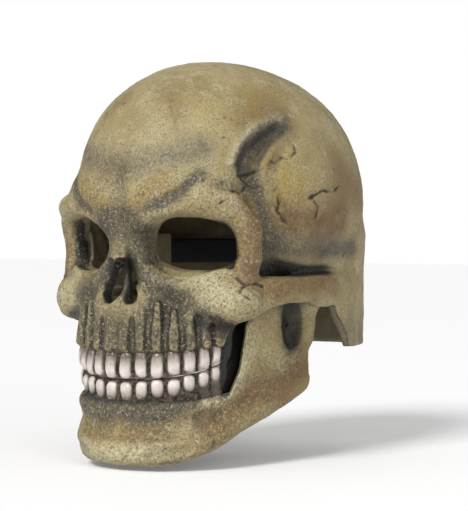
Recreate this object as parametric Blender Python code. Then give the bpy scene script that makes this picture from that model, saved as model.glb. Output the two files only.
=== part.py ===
"""Latex skull mask with a hinged jaw, worn over the head.

Lengths are in millimetres here and go into the meshes as metres. The origin is the middle of the jaw hinge
axis, between the wearer's ears. The face looks along -Y, +X is the mask's left side and +Z is up.
"""
import bmesh
import bpy
import numpy as np

MM = 0.001
GAP = 0.3                 # between pieces that touch
SEAT_GAP = 0.5            # between a pad and the coarse curved wall behind it

# castings
SKULL_WALL = 5.0
WALL_TURN = 3.0           # the inside evens out the outer relief this many degrees round
WALL_LIFT = 5.0           # and this far up and down
JAW_WALL = 5.0
JAW_PLAY = 0.8            # jaw branch to the inside of the skull casting
TOOTH_DEPTH = 9.0
TOOTH_BULGE = 2.4
BITE_Z = -54.5            # bite line at the middle of the mouth
BITE_RISE = 12.0          # how far the bite line climbs to the last tooth
GUM_UPPER_Z = -38.0
GUM_LOWER_Z = -69.0
TOOTH_WIDTHS = (12.5, 11.5, 11.5, 11.5, 11.0, 10.5, 9.5)

# plan of the tooth arch, outer face, from the middle to the last tooth
ARCH = ((0, -128.5), (10, -128), (19, -126), (29, -122), (38, -117), (46, -111), (52, -103), (56, -94),
        (58.5, -84))

# big forms of the head, centre and radii
VAULT_BACK = ((0, 12, 66), (90, 94, 94))
VAULT_FRONT = ((0, -40, 75), (78, 83, 83))
TEMPLE = ((66, -14, 56), (24, 44, 40))
MIDFACE = ((0, -66, 8), (64, 52, 58))
CHEEK = ((63, -84, -2), (21, 16, 15))
ORBIT = ((43, -118, 33), (27, 32, 20))
CANINE_HOLLOW = ((37, -121, -10), (12, 9, 10))

# ridges, each a chain of x, y, z, radius
BROW = ((0, -112, 52, 11), (14, -114, 51, 11), (30, -113, 57, 11), (48, -106, 62, 10), (66, -92, 60, 10),
        (74, -80, 48, 8))
UPPER_BROW = ((8, -114, 64, 9), (30, -112, 71, 8), (50, -101, 74, 6))
ORBIT_PILLAR = ((74, -80, 48, 8), (74, -79, 26, 8), (69, -83, 8, 10))
CHEEK_RIDGE = ((64, -86, -2, 13), (47, -97, 4, 11), (31, -107, 9, 9), (21, -112, 20, 7))
CHEEK_BUTTRESS = ((56, -88, -8, 11), (50, -88, -26, 8))
CHEEK_ARCH = ((68, -80, -4, 13), (75, -58, -1, 10), (77, -32, -1, 10), (75, 2, 0, 12.5), (78, 22, 6, 9))
MASTOID = ((74, 26, 0, 10), (72, 26, -24, 9))
NOSE_RIDGE = ((0, -113, 50, 7), (0, -121, 37, 6.5), (0, -124.5, 25, 6))
NOSE_RIM = ((11, -111, 44, 6), (16, -114, 14, 6), (20, -116, -6, 6), (12, -119, -13, 6), (0, -120, -14, 6))
TEMPLE_HOLLOW = ((92, -46, 24, 11), (90, -58, 42, 14), (84, -68, 62, 14), (78, -72, 82, 12),
                 (78, -56, 102, 9), (82, -36, 116, 6))
JAW_BORDER = ((0, -119, -104, 9), (24, -117, -104, 9), (42, -105, -101, 8.5), (54, -86, -92, 8),
              (60, -62, -81, 7.5), (66, -34, -71, 7), (69, -12, -62, 7.5))
JAW_RIDGE = ((58, -65, -18, 5), (57.5, -69, -46, 5), (54, -82, -63, 5.5), (47, -99, -76, 5))
JAW_NECK = ((70, -8, -30, 6.5), (71, -3, -4, 7))
JAW_NOTCH = ((74, -26, -20), (9, 9, 17))
JAW_BOSS = ((72, 0, 0), (9, 12, 12))
CHIN = ((0, -120, -102), (26, 12, 13))
CHIN_SIDE = ((30, -114, -105), (13, 12, 11))

# standing walls, each a chain of x, y, low z, high z, half thickness
NAPE = ((76, 14, -40, 40, 6), (77, 40, -40, 40, 6), (64, 72, -40, 40, 6), (36, 90, -40, 40, 6),
        (0, 95, -40, 40, 6))
JAW_BRANCH = ((54, -80, -88, -66, 5.5), (58, -66, -82, -26, 5), (61, -58, -80, -12, 5),
              (66, -36, -72, -12, 5), (71, -12, -62, -8, 5))

# lower edge of the skull casting, angle from the front and height
SKULL_EDGE = ((0, GUM_UPPER_Z), (31, -36), (33.5, -33), (36, -22), (39, -17), (45, -13), (52, -8), (75, -8),
              (82, -9), (98, -9), (112, -38), (180, -40))
# edges of the jaw casting
JAW_TOP = ((0, GUM_LOWER_Z), (26, -68), (31, -66), (36, -65), (40, -50), (43, -20), (47, -5), (72, -4),
           (80, -3), (84, 8), (97, 7))
JAW_LOW = ((0, -112), (12, -112), (22, -109), (30, -103), (40, -93), (55, -84), (70, -75), (80, -67),
           (85, -56), (88, -30), (90.5, -11), (97, -7))

# eye and nostril holes, outlines in x and z on the mask's left side
EYE_CENTRE = (42.5, 35.5)
EYE_HALF = (22.5, 17.5)
EYE_TILT = 6.0
NOSTRIL = ((1.8, 3), (1.8, 22), (4, 26), (7, 22), (13, 3), (11.5, -3), (6, -4.5), (2.2, -2))
FACE_FRONT_Y = -150.0
HOLE_BACK_Y = -77.0
NOSTRIL_BACK_Y = -95.0

# pads
CROWN_SEAT_Z = 130.0
CROWN_PAD_RADIUS = 34.0
PAD_SETBACK = 0.4         # extra room under the crown, where the casting's facets are largest
FOREHEAD_PAD = (-27, 27, 76, 102)
FOREHEAD_PAD_DEPTH = 12.0
TEMPLE_PAD = (71, 92, 46, 80)
TEMPLE_PAD_DEPTH = 9.0
CHIN_CUP = (-19, 19, -106, -86)
CHIN_CUP_DEPTH = 9.0

# head band
BAND_Z = 29.0
BAND_WIDTH = 18.0
BAND_THICK = 1.5
BAND_CENTRE_Y = 6.0
BAND_TUCK = 0.9           # how far the band's ends sink towards the wall from the evened inside
PATCH_WIDTH = 26.0
PATCH_THICK = 1.6
PATCH_REACH = 16.0        # degrees of the band that a patch covers

# elastic cheek panels
WEB_ANGLES = (30.0, 48.0)
WEB_LOW_Z = -80.0
WEB_HIGH_Z = -6.0
WEB_THICK = 1.6
WEB_SETBACK = 2.1

# jaw pivots
STUD_FLANGE_RADIUS = 6.0
STUD_FLANGE_THICK = 1.4
STUD_RADIUS = 2.2
STUD_SKIN = 1.6           # latex between the flange and the inside
PIVOT_SEAT_DEPTH = 0.4    # flat seat cut into the inside of the casting
PIVOT_SEAT_RADIUS = 8.4
WASHER_RADIUS = 6.5
WASHER_THICK = 1.2
TAB_RADIUS = 16.0         # flat part of the jaw branch
BRANCH_THICK = 4.0        # jaw branch at the pivot
CAP_RADIUS = 6.0
CAP_THICK = 3.6
CAP_FLOOR = 1.2

# mesh steps
CAST_AXIS_Z = 70.0
SKULL_ANGLES = (tuple(np.linspace(0, 66, 18)) + tuple(np.linspace(72, 102, 6))
                + tuple(np.linspace(116, 180, 5)))
CROWN_ROWS = 7
FACE_ROWS = 15
JAW_ANGLES = tuple(np.linspace(0, 47, 14)) + tuple(np.linspace(52, 97, 10))
JAW_ROWS = 9


# Form functions: signed distance, negative inside, for an array of points.

def smooth_union(a, b, blend):
    h = np.maximum(blend - np.abs(a - b), 0.0) / blend
    return np.minimum(a, b) - h * h * blend / 4


def smooth_cut(a, b, blend):
    return -smooth_union(-a, b, blend)


def ellipsoid(p, form):
    centre, radii = np.array(form[0], float), np.array(form[1], float)
    q = (p - centre) / radii
    k0 = np.linalg.norm(q, axis=1)
    k1 = np.linalg.norm(q / radii, axis=1)
    return k0 * (k0 - 1) / np.maximum(k1, 1e-9)


def rod(p, stations):
    best = np.full(len(p), 1e9)
    for a, b in zip(np.array(stations[:-1], float), np.array(stations[1:], float)):
        axis = b[:3] - a[:3]
        h = np.clip((p - a[:3]) @ axis / (axis @ axis), 0, 1)
        reach = np.linalg.norm(p - a[:3] - h[:, None] * axis, axis=1)
        best = np.minimum(best, reach - (a[3] + h * (b[3] - a[3])))
    return best


def ribbon(p, stations):
    best = np.full(len(p), 1e9)
    for a, b in zip(np.array(stations[:-1], float), np.array(stations[1:], float)):
        axis = b[:2] - a[:2]
        h = np.clip((p[:, :2] - a[:2]) @ axis / (axis @ axis), 0, 1)
        across = np.linalg.norm(p[:, :2] - a[:2] - h[:, None] * axis, axis=1)
        low, high, half = (a[i] + h * (b[i] - a[i]) for i in (2, 3, 4))
        beyond = np.maximum(np.maximum(low - p[:, 2], p[:, 2] - high), 0)
        best = np.minimum(best, np.hypot(across, beyond) - half)
    return best


def folded(p):
    return np.column_stack([np.abs(p[:, 0]), p[:, 1], p[:, 2]])


def arch_wall(inset, low, high, rise, half):
    """Stations of a wall inside the tooth arch, its lower edge climbing towards the back."""
    plan = np.array(ARCH, float)
    along = np.gradient(plan, axis=0)
    along[0] = (1, 0)
    along /= np.linalg.norm(along, axis=1)[:, None]
    plan = plan + np.column_stack([-along[:, 1], along[:, 0]]) * inset
    return [(x, y, low + rise * t * t, high + min(rise, 0) * t, half)
            for (x, y), t in zip(plan, np.linspace(0, 1, len(plan)))]


UPPER_WALL = arch_wall(9.5, GUM_UPPER_Z + 4, -8, 9, 8.5)
LOWER_WALL = [(x, y, low, high + 8 * t * t, half) for (x, y, low, high, half), t in
              zip(arch_wall(9.0, -100, GUM_LOWER_Z - 7, 8, 7.5), np.linspace(0, 1, len(ARCH)))][:-1]


def skull_form(p):
    p = folded(p)
    d = smooth_union(ellipsoid(p, VAULT_BACK), ellipsoid(p, VAULT_FRONT), 30)
    d = smooth_union(d, ellipsoid(p, TEMPLE), 16)
    d = smooth_union(d, ribbon(p, NAPE), 14)
    d = smooth_union(d, ellipsoid(p, MIDFACE), 18)
    d = smooth_union(d, ribbon(p, UPPER_WALL), 10)
    d = smooth_union(d, rod(p, CHEEK_BUTTRESS), 10)
    d = smooth_union(d, rod(p, BROW), 8)
    d = smooth_union(d, rod(p, UPPER_BROW), 10)
    d = smooth_union(d, rod(p, ORBIT_PILLAR), 8)
    d = smooth_union(d, ellipsoid(p, CHEEK), 8)
    d = smooth_union(d, rod(p, CHEEK_RIDGE), 8)
    d = smooth_union(d, rod(p, CHEEK_ARCH), 7)
    d = smooth_union(d, rod(p, MASTOID), 12)
    d = smooth_union(d, rod(p, NOSE_RIDGE), 9)
    d = smooth_union(d, rod(p, NOSE_RIM), 8)
    d = smooth_cut(d, rod(p, TEMPLE_HOLLOW), 6)
    d = smooth_cut(d, ellipsoid(p, ORBIT), 7)
    return smooth_cut(d, ellipsoid(p, CANINE_HOLLOW), 8)


def jaw_form(p):
    p = folded(p)
    d = smooth_union(ribbon(p, LOWER_WALL), rod(p, JAW_BORDER), 9)
    d = smooth_union(d, ribbon(p, JAW_BRANCH), 7)
    d = smooth_union(d, rod(p, JAW_RIDGE), 6)
    d = smooth_cut(d, ellipsoid(p, JAW_NOTCH), 4)
    d = smooth_union(d, rod(p, JAW_NECK), 6)
    d = smooth_union(d, ellipsoid(p, CHIN), 8)
    d = smooth_union(d, ellipsoid(p, CHIN_SIDE), 8)
    return smooth_union(d, ellipsoid(p, JAW_BOSS), 4)


# Rays from the upright axis of the casting out to a form's surface.

def spread(angle, z):
    """Unit directions for angles from the front in degrees, and the points on the axis they leave from."""
    angle, z = np.broadcast_arrays(np.asarray(angle, float), np.asarray(z, float))
    turn = np.radians(angle.ravel())
    way = np.column_stack([np.sin(turn), -np.cos(turn), np.zeros(turn.size)])
    start = np.column_stack([np.zeros(turn.size), np.zeros(turn.size), z.ravel()])
    return start, way, angle.shape


def crossing(form, start, way):
    """Distance along each ray to where it leaves the form for the last time."""
    steps = np.arange(40.0, 160.0, 2.0)
    inside = np.stack([form(start + way * s) < 0 for s in steps])
    hit = inside.any(axis=0)
    low = steps[len(steps) - 1 - np.argmax(inside[::-1], axis=0)]
    high = low + 2.0
    for _ in range(14):
        mid = (low + high) / 2
        within = form(start + way * mid[:, None]) < 0
        low = np.where(within, mid, low)
        high = np.where(within, high, mid)
    return np.where(hit, low, np.nan)


def filled(rows):
    """Gaps in a grid of distances take the value of the row above, or below for the first rows."""
    rows = np.array(rows)
    if rows.ndim < 2:
        return rows
    for i in range(1, len(rows)):
        rows[i] = np.where(np.isnan(rows[i]), rows[i - 1], rows[i])
    for i in range(len(rows) - 2, -1, -1):
        rows[i] = np.where(np.isnan(rows[i]), rows[i + 1], rows[i])
    return rows


def skull_outer(angle, z):
    start, way, shape = spread(angle, z)
    return crossing(skull_form, start, way).reshape(shape)


def skull_inner(angle, z):
    """The casting's inside: a wall's thickness under the least of the outer skin close by."""
    least = np.full(np.broadcast_shapes(np.shape(angle), np.shape(z)), np.inf)
    for turn in (-WALL_TURN, 0, WALL_TURN):
        for lift in (-WALL_LIFT, 0, WALL_LIFT):
            reach = skull_outer(angle + turn, np.maximum(z + lift, table(SKULL_EDGE, angle + turn)))
            least = np.fmin(least, reach)
    return least - SKULL_WALL


def table(pairs, angle):
    return np.interp(np.abs(angle), [a for a, _ in pairs], [b for _, b in pairs])


def jaw_outer(angle, z):
    start, way, shape = spread(angle, z)
    reach = filled(crossing(jaw_form, start, way).reshape(shape))
    covered = np.asarray(z) > table(SKULL_EDGE, angle) - 8
    room = skull_inner(np.broadcast_to(angle, shape), np.maximum(z, table(SKULL_EDGE, angle)))
    limit = np.where(np.isnan(room), 1e9, room) - JAW_PLAY
    return np.where(covered, np.minimum(reach, limit), reach)


ARCH_ANGLE = [np.degrees(np.arctan2(x, -y)) for x, y in ARCH]
ARCH_REACH = [np.hypot(x, y) for x, y in ARCH]
ARCH_RUN = np.concatenate([[0], np.cumsum(np.hypot(*np.diff(np.array(ARCH, float), axis=0).T))])


def bite(angle):
    run = np.interp(np.abs(angle), ARCH_ANGLE, ARCH_RUN) / ARCH_RUN[-1]
    return BITE_Z + BITE_RISE * run ** 2.2


# Mesh helpers.

def add_object(name, points, faces):
    mesh = bpy.data.meshes.new(name)
    mesh.from_pydata((np.asarray(points) * MM).tolist(), [], faces)
    bm = bmesh.new()
    bm.from_mesh(mesh)
    bmesh.ops.triangulate(bm, faces=[f for f in bm.faces if len(f.verts) == 4])
    bmesh.ops.recalc_face_normals(bm, faces=bm.faces)
    bm.to_mesh(mesh)
    bm.free()
    mesh.shade_smooth()
    item = bpy.data.objects.new(name, mesh)
    bpy.context.collection.objects.link(item)
    return item


def paint(item, colour, roughness, metallic=0.0):
    material = bpy.data.materials.new(item.name)
    material.use_nodes = True
    shader = material.node_tree.nodes["Principled BSDF"]
    shader.inputs["Base Color"].default_value = (*colour, 1)
    shader.inputs["Roughness"].default_value = roughness
    shader.inputs["Metallic"].default_value = metallic
    item.data.materials.append(material)
    return item


def sheet_faces(rows, cols, ring, base, flip):
    faces = []
    for i in range(rows - 1):
        for j in range(cols if ring else cols - 1):
            k = (j + 1) % cols
            near, far = base + i * cols, base + (i + 1) * cols
            quad = [near + j, near + k, far + k, far + j]
            faces.append(quad[::-1] if flip else quad)
    return faces


def rim_faces(outer, inner):
    return [[a, b, d, c] for a, b, c, d in zip(outer[:-1], outer[1:], inner[:-1], inner[1:])]


def slab(name, outer, inner):
    """A closed body between two grids of points of the same shape."""
    rows, cols = outer.shape[:2]
    count = rows * cols
    faces = sheet_faces(rows, cols, False, 0, False) + sheet_faces(rows, cols, False, count, True)
    index = np.arange(count).reshape(rows, cols)
    loop = list(index[0]) + list(index[1:, -1]) + list(index[-1, -2::-1])
    loop += list(index[-2:0:-1, 0]) + [index[0, 0]]
    faces += rim_faces(loop, [i + count for i in loop])
    points = np.concatenate([outer.reshape(-1, 3), inner.reshape(-1, 3)])
    return add_object(name, points, faces)


def bowl(name, outer, inner, outer_pole, inner_pole):
    """A closed body between two grids that run right round and close at a pole above their first row."""
    rows, cols = outer.shape[:2]
    count = rows * cols
    faces = sheet_faces(rows, cols, True, 0, False) + sheet_faces(rows, cols, True, count, True)
    last = [(rows - 1) * cols + j for j in range(cols)] + [(rows - 1) * cols]
    faces += rim_faces(last, [i + count for i in last])
    for j in range(cols):
        k = (j + 1) % cols
        faces.append([2 * count, k, j])
        faces.append([2 * count + 1, count + j, count + k])
    points = np.concatenate([outer.reshape(-1, 3), inner.reshape(-1, 3), [outer_pole, inner_pole]])
    return add_object(name, points, faces)


def cylinder_points(angle, reach, z):
    turn = np.radians(np.broadcast_to(angle, reach.shape))
    return np.stack([reach * np.sin(turn), -reach * np.cos(turn), np.broadcast_to(z, reach.shape)], -1)


def disc_x(name, x0, x1, radius, segments=28, hole=0.0):
    """A round piece along X between two heights, with a bore if hole is given."""
    turn = np.linspace(0, 2 * np.pi, segments, endpoint=False)
    ring = np.column_stack([np.cos(turn), np.sin(turn)])
    if not hole:
        points = [(x, *(radius * r)) for x in (x0, x1) for r in ring]
        faces = [list(range(segments))[::-1], list(range(segments, 2 * segments))]
        faces += rim_faces(list(range(segments)) + [0], list(range(segments, 2 * segments)) + [segments])
        return add_object(name, points, faces)
    points = [(x, *(s * r)) for x, s in ((x0, hole), (x0, radius), (x1, radius), (x1, hole)) for r in ring]
    faces = []
    for a in range(4):
        first = [a * segments + j for j in range(segments)] + [a * segments]
        second = [(a + 1) % 4 * segments + j for j in range(segments)] + [(a + 1) % 4 * segments]
        faces += rim_faces(first, second)
    return add_object(name, points, faces)


def turned_x(name, stations, segments=28):
    """A solid of revolution about the X axis through (x, radius), closed by flat ends."""
    turn = np.linspace(0, 2 * np.pi, segments, endpoint=False)
    points = [(x, r * np.cos(t), r * np.sin(t)) for x, r in stations for t in turn]
    faces = [list(range(segments)), list(range((len(stations) - 1) * segments, len(stations) * segments))]
    for i in range(len(stations) - 1):
        first = [i * segments + j for j in range(segments)] + [i * segments]
        faces += rim_faces(first, [k + segments for k in first])
    return add_object(name, points, faces)


def prism_y(name, outline, y0, y1):
    count = len(outline)
    points = [(x, y, z) for y in (y0, y1) for x, z in outline]
    faces = [list(range(count)), list(range(count, 2 * count))]
    faces += rim_faces(list(range(count)) + [0], list(range(count, 2 * count)) + [count])
    return add_object(name, points, faces)


def mirrored(item, name):
    """The same piece on the mask's right side."""
    mesh = item.data.copy()
    mesh.name = name
    for vertex in mesh.vertices:
        vertex.co.x = -vertex.co.x
    mesh.flip_normals()
    copy = bpy.data.objects.new(name, mesh)
    bpy.context.collection.objects.link(copy)
    mesh.materials.clear()
    return copy


def cut(item, cutter):
    cutter.hide_render = True
    cutter.display_type = "WIRE"
    step = item.modifiers.new(cutter.name, "BOOLEAN")
    step.operation = "DIFFERENCE"
    step.solver = "EXACT"
    step.object = cutter


def cut_both(item, cutter):
    cut(item, cutter)
    cut(item, mirrored(cutter, cutter.name + "_right"))


for old in list(bpy.data.objects):
    bpy.data.objects.remove(old)

BONE = (0.42, 0.34, 0.16)
TOOTH = (0.72, 0.64, 0.58)
BLACK = (0.012, 0.012, 0.014)
FOAM = (0.10, 0.10, 0.105)
WEBBING = (0.03, 0.03, 0.032)
STEEL = (0.55, 0.55, 0.56)
NYLON = (0.62, 0.60, 0.55)

# skull casting: rings below the axis point by level rays, above it by rays fanned up to the crown
half = np.array(SKULL_ANGLES)
ring = np.concatenate([half, -half[-2:0:-1]])
below = np.linspace(0, 1, FACE_ROWS)[1:, None]
edge = table(SKULL_EDGE, ring)
face_z = CAST_AXIS_Z + (edge - CAST_AXIS_Z) * below
tilt = np.radians(np.linspace(0, 90, CROWN_ROWS + 1)[1:])[:, None]
turn = np.radians(ring)[None, :]
fan = np.stack([np.sin(tilt) * np.sin(turn), -np.sin(tilt) * np.cos(turn),
                np.cos(tilt) * np.ones_like(turn)], -1).reshape(-1, 3)
hub = np.zeros_like(fan) + (0, 0, CAST_AXIS_Z)


def skull_skin(fan_reach, face_reach):
    fanned = hub + fan * fan_reach[:, None]
    level = cylinder_points(ring, filled(face_reach), face_z)
    return np.concatenate([fanned.reshape(CROWN_ROWS, len(ring), 3), level])


fan_reach = crossing(skull_form, hub, fan)
outer_skin = skull_skin(fan_reach, skull_outer(ring, face_z))
inner_skin = skull_skin(fan_reach - SKULL_WALL, skull_inner(ring[None, :], face_z))
up = np.array([[0, 0, 1.0]])
crown_out = CAST_AXIS_Z + crossing(skull_form, np.array([[0, 0, CAST_AXIS_Z]]), up)[0]
crown_in = crown_out - SKULL_WALL
skull_shell = bowl("skull_shell", outer_skin, inner_skin, (0, 0, crown_out), (0, 0, crown_in))
paint(skull_shell, BONE, 0.6)

swing = np.linspace(0, 2 * np.pi, 24, endpoint=False)
lean = np.radians(EYE_TILT)
eye_x = EYE_HALF[0] * np.sign(np.cos(swing)) * np.abs(np.cos(swing)) ** 0.8
eye_z = EYE_HALF[1] * np.sign(np.sin(swing)) * np.abs(np.sin(swing)) ** 0.8
eye_outline = list(zip(EYE_CENTRE[0] + eye_x * np.cos(lean) + eye_z * np.sin(lean),
                       EYE_CENTRE[1] - eye_x * np.sin(lean) + eye_z * np.cos(lean)))
cut_both(skull_shell, prism_y("eye_cutter", eye_outline, FACE_FRONT_Y, HOLE_BACK_Y))
cut_both(skull_shell, prism_y("nostril_cutter", NOSTRIL, FACE_FRONT_Y, NOSTRIL_BACK_Y))

# jaw pivots, laid out along X from a flat seat cut into the inside of the skull casting
seat_x = skull_inner(np.array([90.0]), np.array([0.0]))[0] + PIVOT_SEAT_DEPTH
washer_x = seat_x - GAP
branch_x = washer_x - WASHER_THICK - GAP
branch_in_x = branch_x - BRANCH_THICK
cap_x = branch_in_x - SEAT_GAP
flange_x = seat_x + STUD_SKIN + STUD_FLANGE_THICK
stud_end_x = cap_x - CAP_THICK + CAP_FLOOR + GAP

# jaw casting, flat on both faces round the pivots
half = np.array(JAW_ANGLES)
jaw_ring = np.concatenate([-half[:0:-1], half])
jaw_top, jaw_low = table(JAW_TOP, jaw_ring), table(JAW_LOW, jaw_ring)
jaw_z = jaw_top + (jaw_low - jaw_top) * np.linspace(0, 1, JAW_ROWS)[:, None]
jaw_reach = jaw_outer(jaw_ring, jaw_z)
jaw_back = jaw_reach - JAW_WALL
outward = np.abs(np.sin(np.radians(jaw_ring)))[None, :]
from_pivot = np.hypot(jaw_reach * np.cos(np.radians(jaw_ring)), jaw_z)
tab = (from_pivot < TAB_RADIUS) & (np.abs(jaw_ring) > 60)
jaw_reach = np.where(tab, np.minimum(jaw_reach, branch_x / np.maximum(outward, 0.1)), jaw_reach)
jaw_back = np.where(tab, branch_in_x / np.maximum(outward, 0.1), jaw_back)
jaw_shell = paint(slab("jaw_shell", cylinder_points(jaw_ring, jaw_reach, jaw_z),
                       cylinder_points(jaw_ring, jaw_back, jaw_z)), BONE, 0.6)

stud = turned_x("pivot_stud_left", ((flange_x, STUD_FLANGE_RADIUS),
                                    (flange_x - STUD_FLANGE_THICK, STUD_FLANGE_RADIUS),
                                    (flange_x - STUD_FLANGE_THICK, STUD_RADIUS), (stud_end_x, STUD_RADIUS)))
pocket = turned_x("stud_pocket", ((flange_x + GAP, STUD_FLANGE_RADIUS + GAP),
                                  (flange_x - STUD_FLANGE_THICK - GAP, STUD_FLANGE_RADIUS + GAP),
                                  (flange_x - STUD_FLANGE_THICK - GAP, STUD_RADIUS + GAP),
                                  (seat_x - 3, STUD_RADIUS + GAP)))
cut_both(skull_shell, disc_x("pivot_seat_cutter", seat_x - 12, seat_x, PIVOT_SEAT_RADIUS))
cut_both(skull_shell, pocket)
cut_both(jaw_shell, disc_x("branch_bore_cutter", branch_in_x - 4, branch_x + 4, STUD_RADIUS + GAP, 24))

washer = disc_x("pivot_washer_left", washer_x - WASHER_THICK, washer_x, WASHER_RADIUS, 28, STUD_RADIUS + GAP)
cap = turned_x("pivot_cap_left", ((cap_x, CAP_RADIUS), (cap_x - CAP_THICK + 1, CAP_RADIUS),
                                  (cap_x - CAP_THICK, CAP_RADIUS - 1)))
cut(cap, disc_x("cap_bore_left", cap_x - CAP_THICK + CAP_FLOOR, cap_x + 2, STUD_RADIUS + GAP, 24))
right_cap = mirrored(cap, "pivot_cap_right")
cut(right_cap, mirrored(bpy.data.objects["cap_bore_left"], "cap_bore_right"))
for left, colour, metal in ((stud, STEEL, 1.0), (washer, NYLON, 0.0)):
    right = mirrored(left, left.name.replace("left", "right"))
    for item in (left, right):
        paint(item, colour, 0.35, metal)
for item in (cap, right_cap):
    paint(item, STEEL, 0.35, 1.0)

# tooth rows
tooth_angles = np.linspace(-33, 33, 49)
run = np.interp(np.abs(tooth_angles), ARCH_ANGLE, ARCH_RUN)
ends = np.concatenate([[0], np.cumsum(TOOTH_WIDTHS)])
which = np.clip(np.searchsorted(ends, run, side="right") - 1, 0, len(TOOTH_WIDTHS) - 1)
across = np.abs((run - (ends[which] + ends[which + 1]) / 2) / (np.array(TOOTH_WIDTHS)[which] / 2))
front = np.interp(np.abs(tooth_angles), ARCH_ANGLE, ARCH_REACH)
level = np.linspace(0, 1, 4)[:, None]


def tooth_row(name, top, low, tip_at_bottom):
    z = top + (low - top) * level
    tip = level if tip_at_bottom else 1 - level
    bulge = TOOTH_BULGE * (1 - np.clip(across, 0, 1) ** 2.5) * (1 - 0.35 * tip ** 3) - 0.8 * tip
    reach = front - TOOTH_BULGE + bulge
    inner = np.broadcast_to(front - TOOTH_DEPTH, reach.shape)
    row = slab(name, cylinder_points(tooth_angles, reach, z), cylinder_points(tooth_angles, inner, z))
    return paint(row, TOOTH, 0.3)


tooth_row("upper_teeth", table(SKULL_EDGE, tooth_angles) - SEAT_GAP, bite(tooth_angles) + GAP, True)
tooth_row("lower_teeth", bite(tooth_angles) - GAP, table(JAW_TOP, tooth_angles) + SEAT_GAP, False)


def least_around(grid):
    """The least of each grid value and its eight neighbours, so that a facet between them stays clear."""
    rows, cols = grid.shape
    padded = np.pad(grid, 1, mode="edge")
    return np.minimum.reduce([padded[i:i + rows, j:j + cols] for i in range(3) for j in range(3)])


# foam pads, each with its back on the casting and a crowned front

def pad(name, patch, back, depth, cols=9, rows=7):
    angle = np.linspace(patch[0], patch[1], cols)[None, :]
    z = np.linspace(patch[2], patch[3], rows)[:, None]
    angle, z = np.broadcast_arrays(angle, z)
    seat = back(angle, z) - SEAT_GAP
    u = np.linspace(-1, 1, cols)[None, :]
    v = np.linspace(-1, 1, rows)[:, None]
    swell = depth * (0.45 + 0.55 * (1 - u ** 4) * (1 - v ** 4))
    return slab(name, cylinder_points(angle, seat, z), cylinder_points(angle, seat - swell, z))


paint(pad("forehead_pad", FOREHEAD_PAD, skull_inner, FOREHEAD_PAD_DEPTH, 11), FOAM, 0.95)
temple = pad("temple_pad_left", TEMPLE_PAD, skull_inner, TEMPLE_PAD_DEPTH)
for item in (temple, mirrored(temple, "temple_pad_right")):
    paint(item, FOAM, 0.95)
chin_cup = pad("chin_cup", CHIN_CUP, lambda a, z: least_around(jaw_outer(a, z)) - JAW_WALL, CHIN_CUP_DEPTH)
paint(chin_cup, FOAM, 0.95)

# crown pad: a flat round seat below, the vault's own curve above
rings, spokes = 5, 24
radius = np.linspace(0, CROWN_PAD_RADIUS, rings)[1:, None]
turn = np.linspace(0, 2 * np.pi, spokes, endpoint=False)[None, :]
plan = np.stack([radius * np.cos(turn), radius * np.sin(turn)], -1)
start = np.concatenate([plan.reshape(-1, 2), [[0, 0]]])
start = np.column_stack([start, np.full(len(start), CAST_AXIS_Z)])
way = np.zeros_like(start) + (0, 0, 1)
roof = CAST_AXIS_Z + crossing(skull_form, start, way) - SKULL_WALL - SEAT_GAP - PAD_SETBACK
top = np.concatenate([plan, roof[:-1].reshape(rings - 1, spokes, 1)], -1)
base = np.concatenate([plan, np.full((rings - 1, spokes, 1), CROWN_SEAT_Z)], -1)
paint(bowl("crown_pad", top, base, (0, 0, roof[-1]), (0, 0, CROWN_SEAT_Z)), FOAM, 0.95)

# head band: an arc behind the head from wall to wall, with a glued patch over each end
band_levels = np.array([[BAND_Z + s * PATCH_WIDTH / 2] for s in (-1, 0, 1)])
band_radius = skull_inner(np.array([[90.0, 96.0]]), band_levels).min() + BAND_TUCK


def arc_strip(name, first, last, count, outside, thick, width):
    turn = np.radians(np.linspace(first, last, count))[None, :]
    z = np.array([BAND_Z - width / 2, BAND_Z + width / 2])[:, None]
    skins = []
    for reach in (outside, outside - thick):
        x, y, up = np.broadcast_arrays(reach * np.cos(turn), BAND_CENTRE_Y + reach * np.sin(turn), z)
        skins.append(np.stack([x, y, up], -1))
    return slab(name, skins[0], skins[1])


paint(arc_strip("head_band", 0, 180, 41, band_radius, BAND_THICK, BAND_WIDTH), WEBBING, 0.9)
patch = arc_strip("band_patch_left", 0, PATCH_REACH, 6, band_radius - BAND_THICK - GAP, PATCH_THICK,
                  PATCH_WIDTH)
for item in (patch, mirrored(patch, "band_patch_right")):
    paint(item, BONE, 0.7)

# elastic cheek panels: behind the skull casting above, behind the jaw casting below
angle = np.linspace(*WEB_ANGLES, 9)[None, :]
z = np.linspace(WEB_HIGH_Z, WEB_LOW_Z, 13)[:, None]
angle, z = np.broadcast_arrays(angle, z)
skull_room = skull_inner(angle, np.maximum(z, table(SKULL_EDGE, angle)))
skull_room = np.where(z > table(SKULL_EDGE, angle) - 9, skull_room, 1e9)
jaw_room = jaw_outer(angle, np.minimum(z, table(JAW_TOP, angle))) - JAW_WALL
jaw_room = np.where(z < table(JAW_TOP, angle) + 8, jaw_room, 1e9)
row_room = np.where(angle < 34.5, np.interp(angle, ARCH_ANGLE, ARCH_REACH) - TOOTH_DEPTH, 1e9)
room = np.minimum(np.minimum(skull_room, jaw_room), row_room)
lowest = room.min(axis=0)
room = np.minimum(room, lowest[None, :] + 6)
room = least_around(room)
web_reach = room - WEB_SETBACK
web = slab("cheek_elastic_left", cylinder_points(angle, web_reach, z),
           cylinder_points(angle, web_reach - WEB_THICK, z))
for item in (web, mirrored(web, "cheek_elastic_right")):
    paint(item, BLACK, 0.3)
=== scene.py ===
"""Looks of the latex skull mask: painted castings, tooth rows, foam pads, head band and cheek elastic.

Lengths are in millimetres until a mesh is made. The frame is the part's own: the origin is the middle of the
jaw hinge axis, the face looks along -Y, +X is the mask's left side and +Z is up.
"""
import math
from itertools import product

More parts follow.
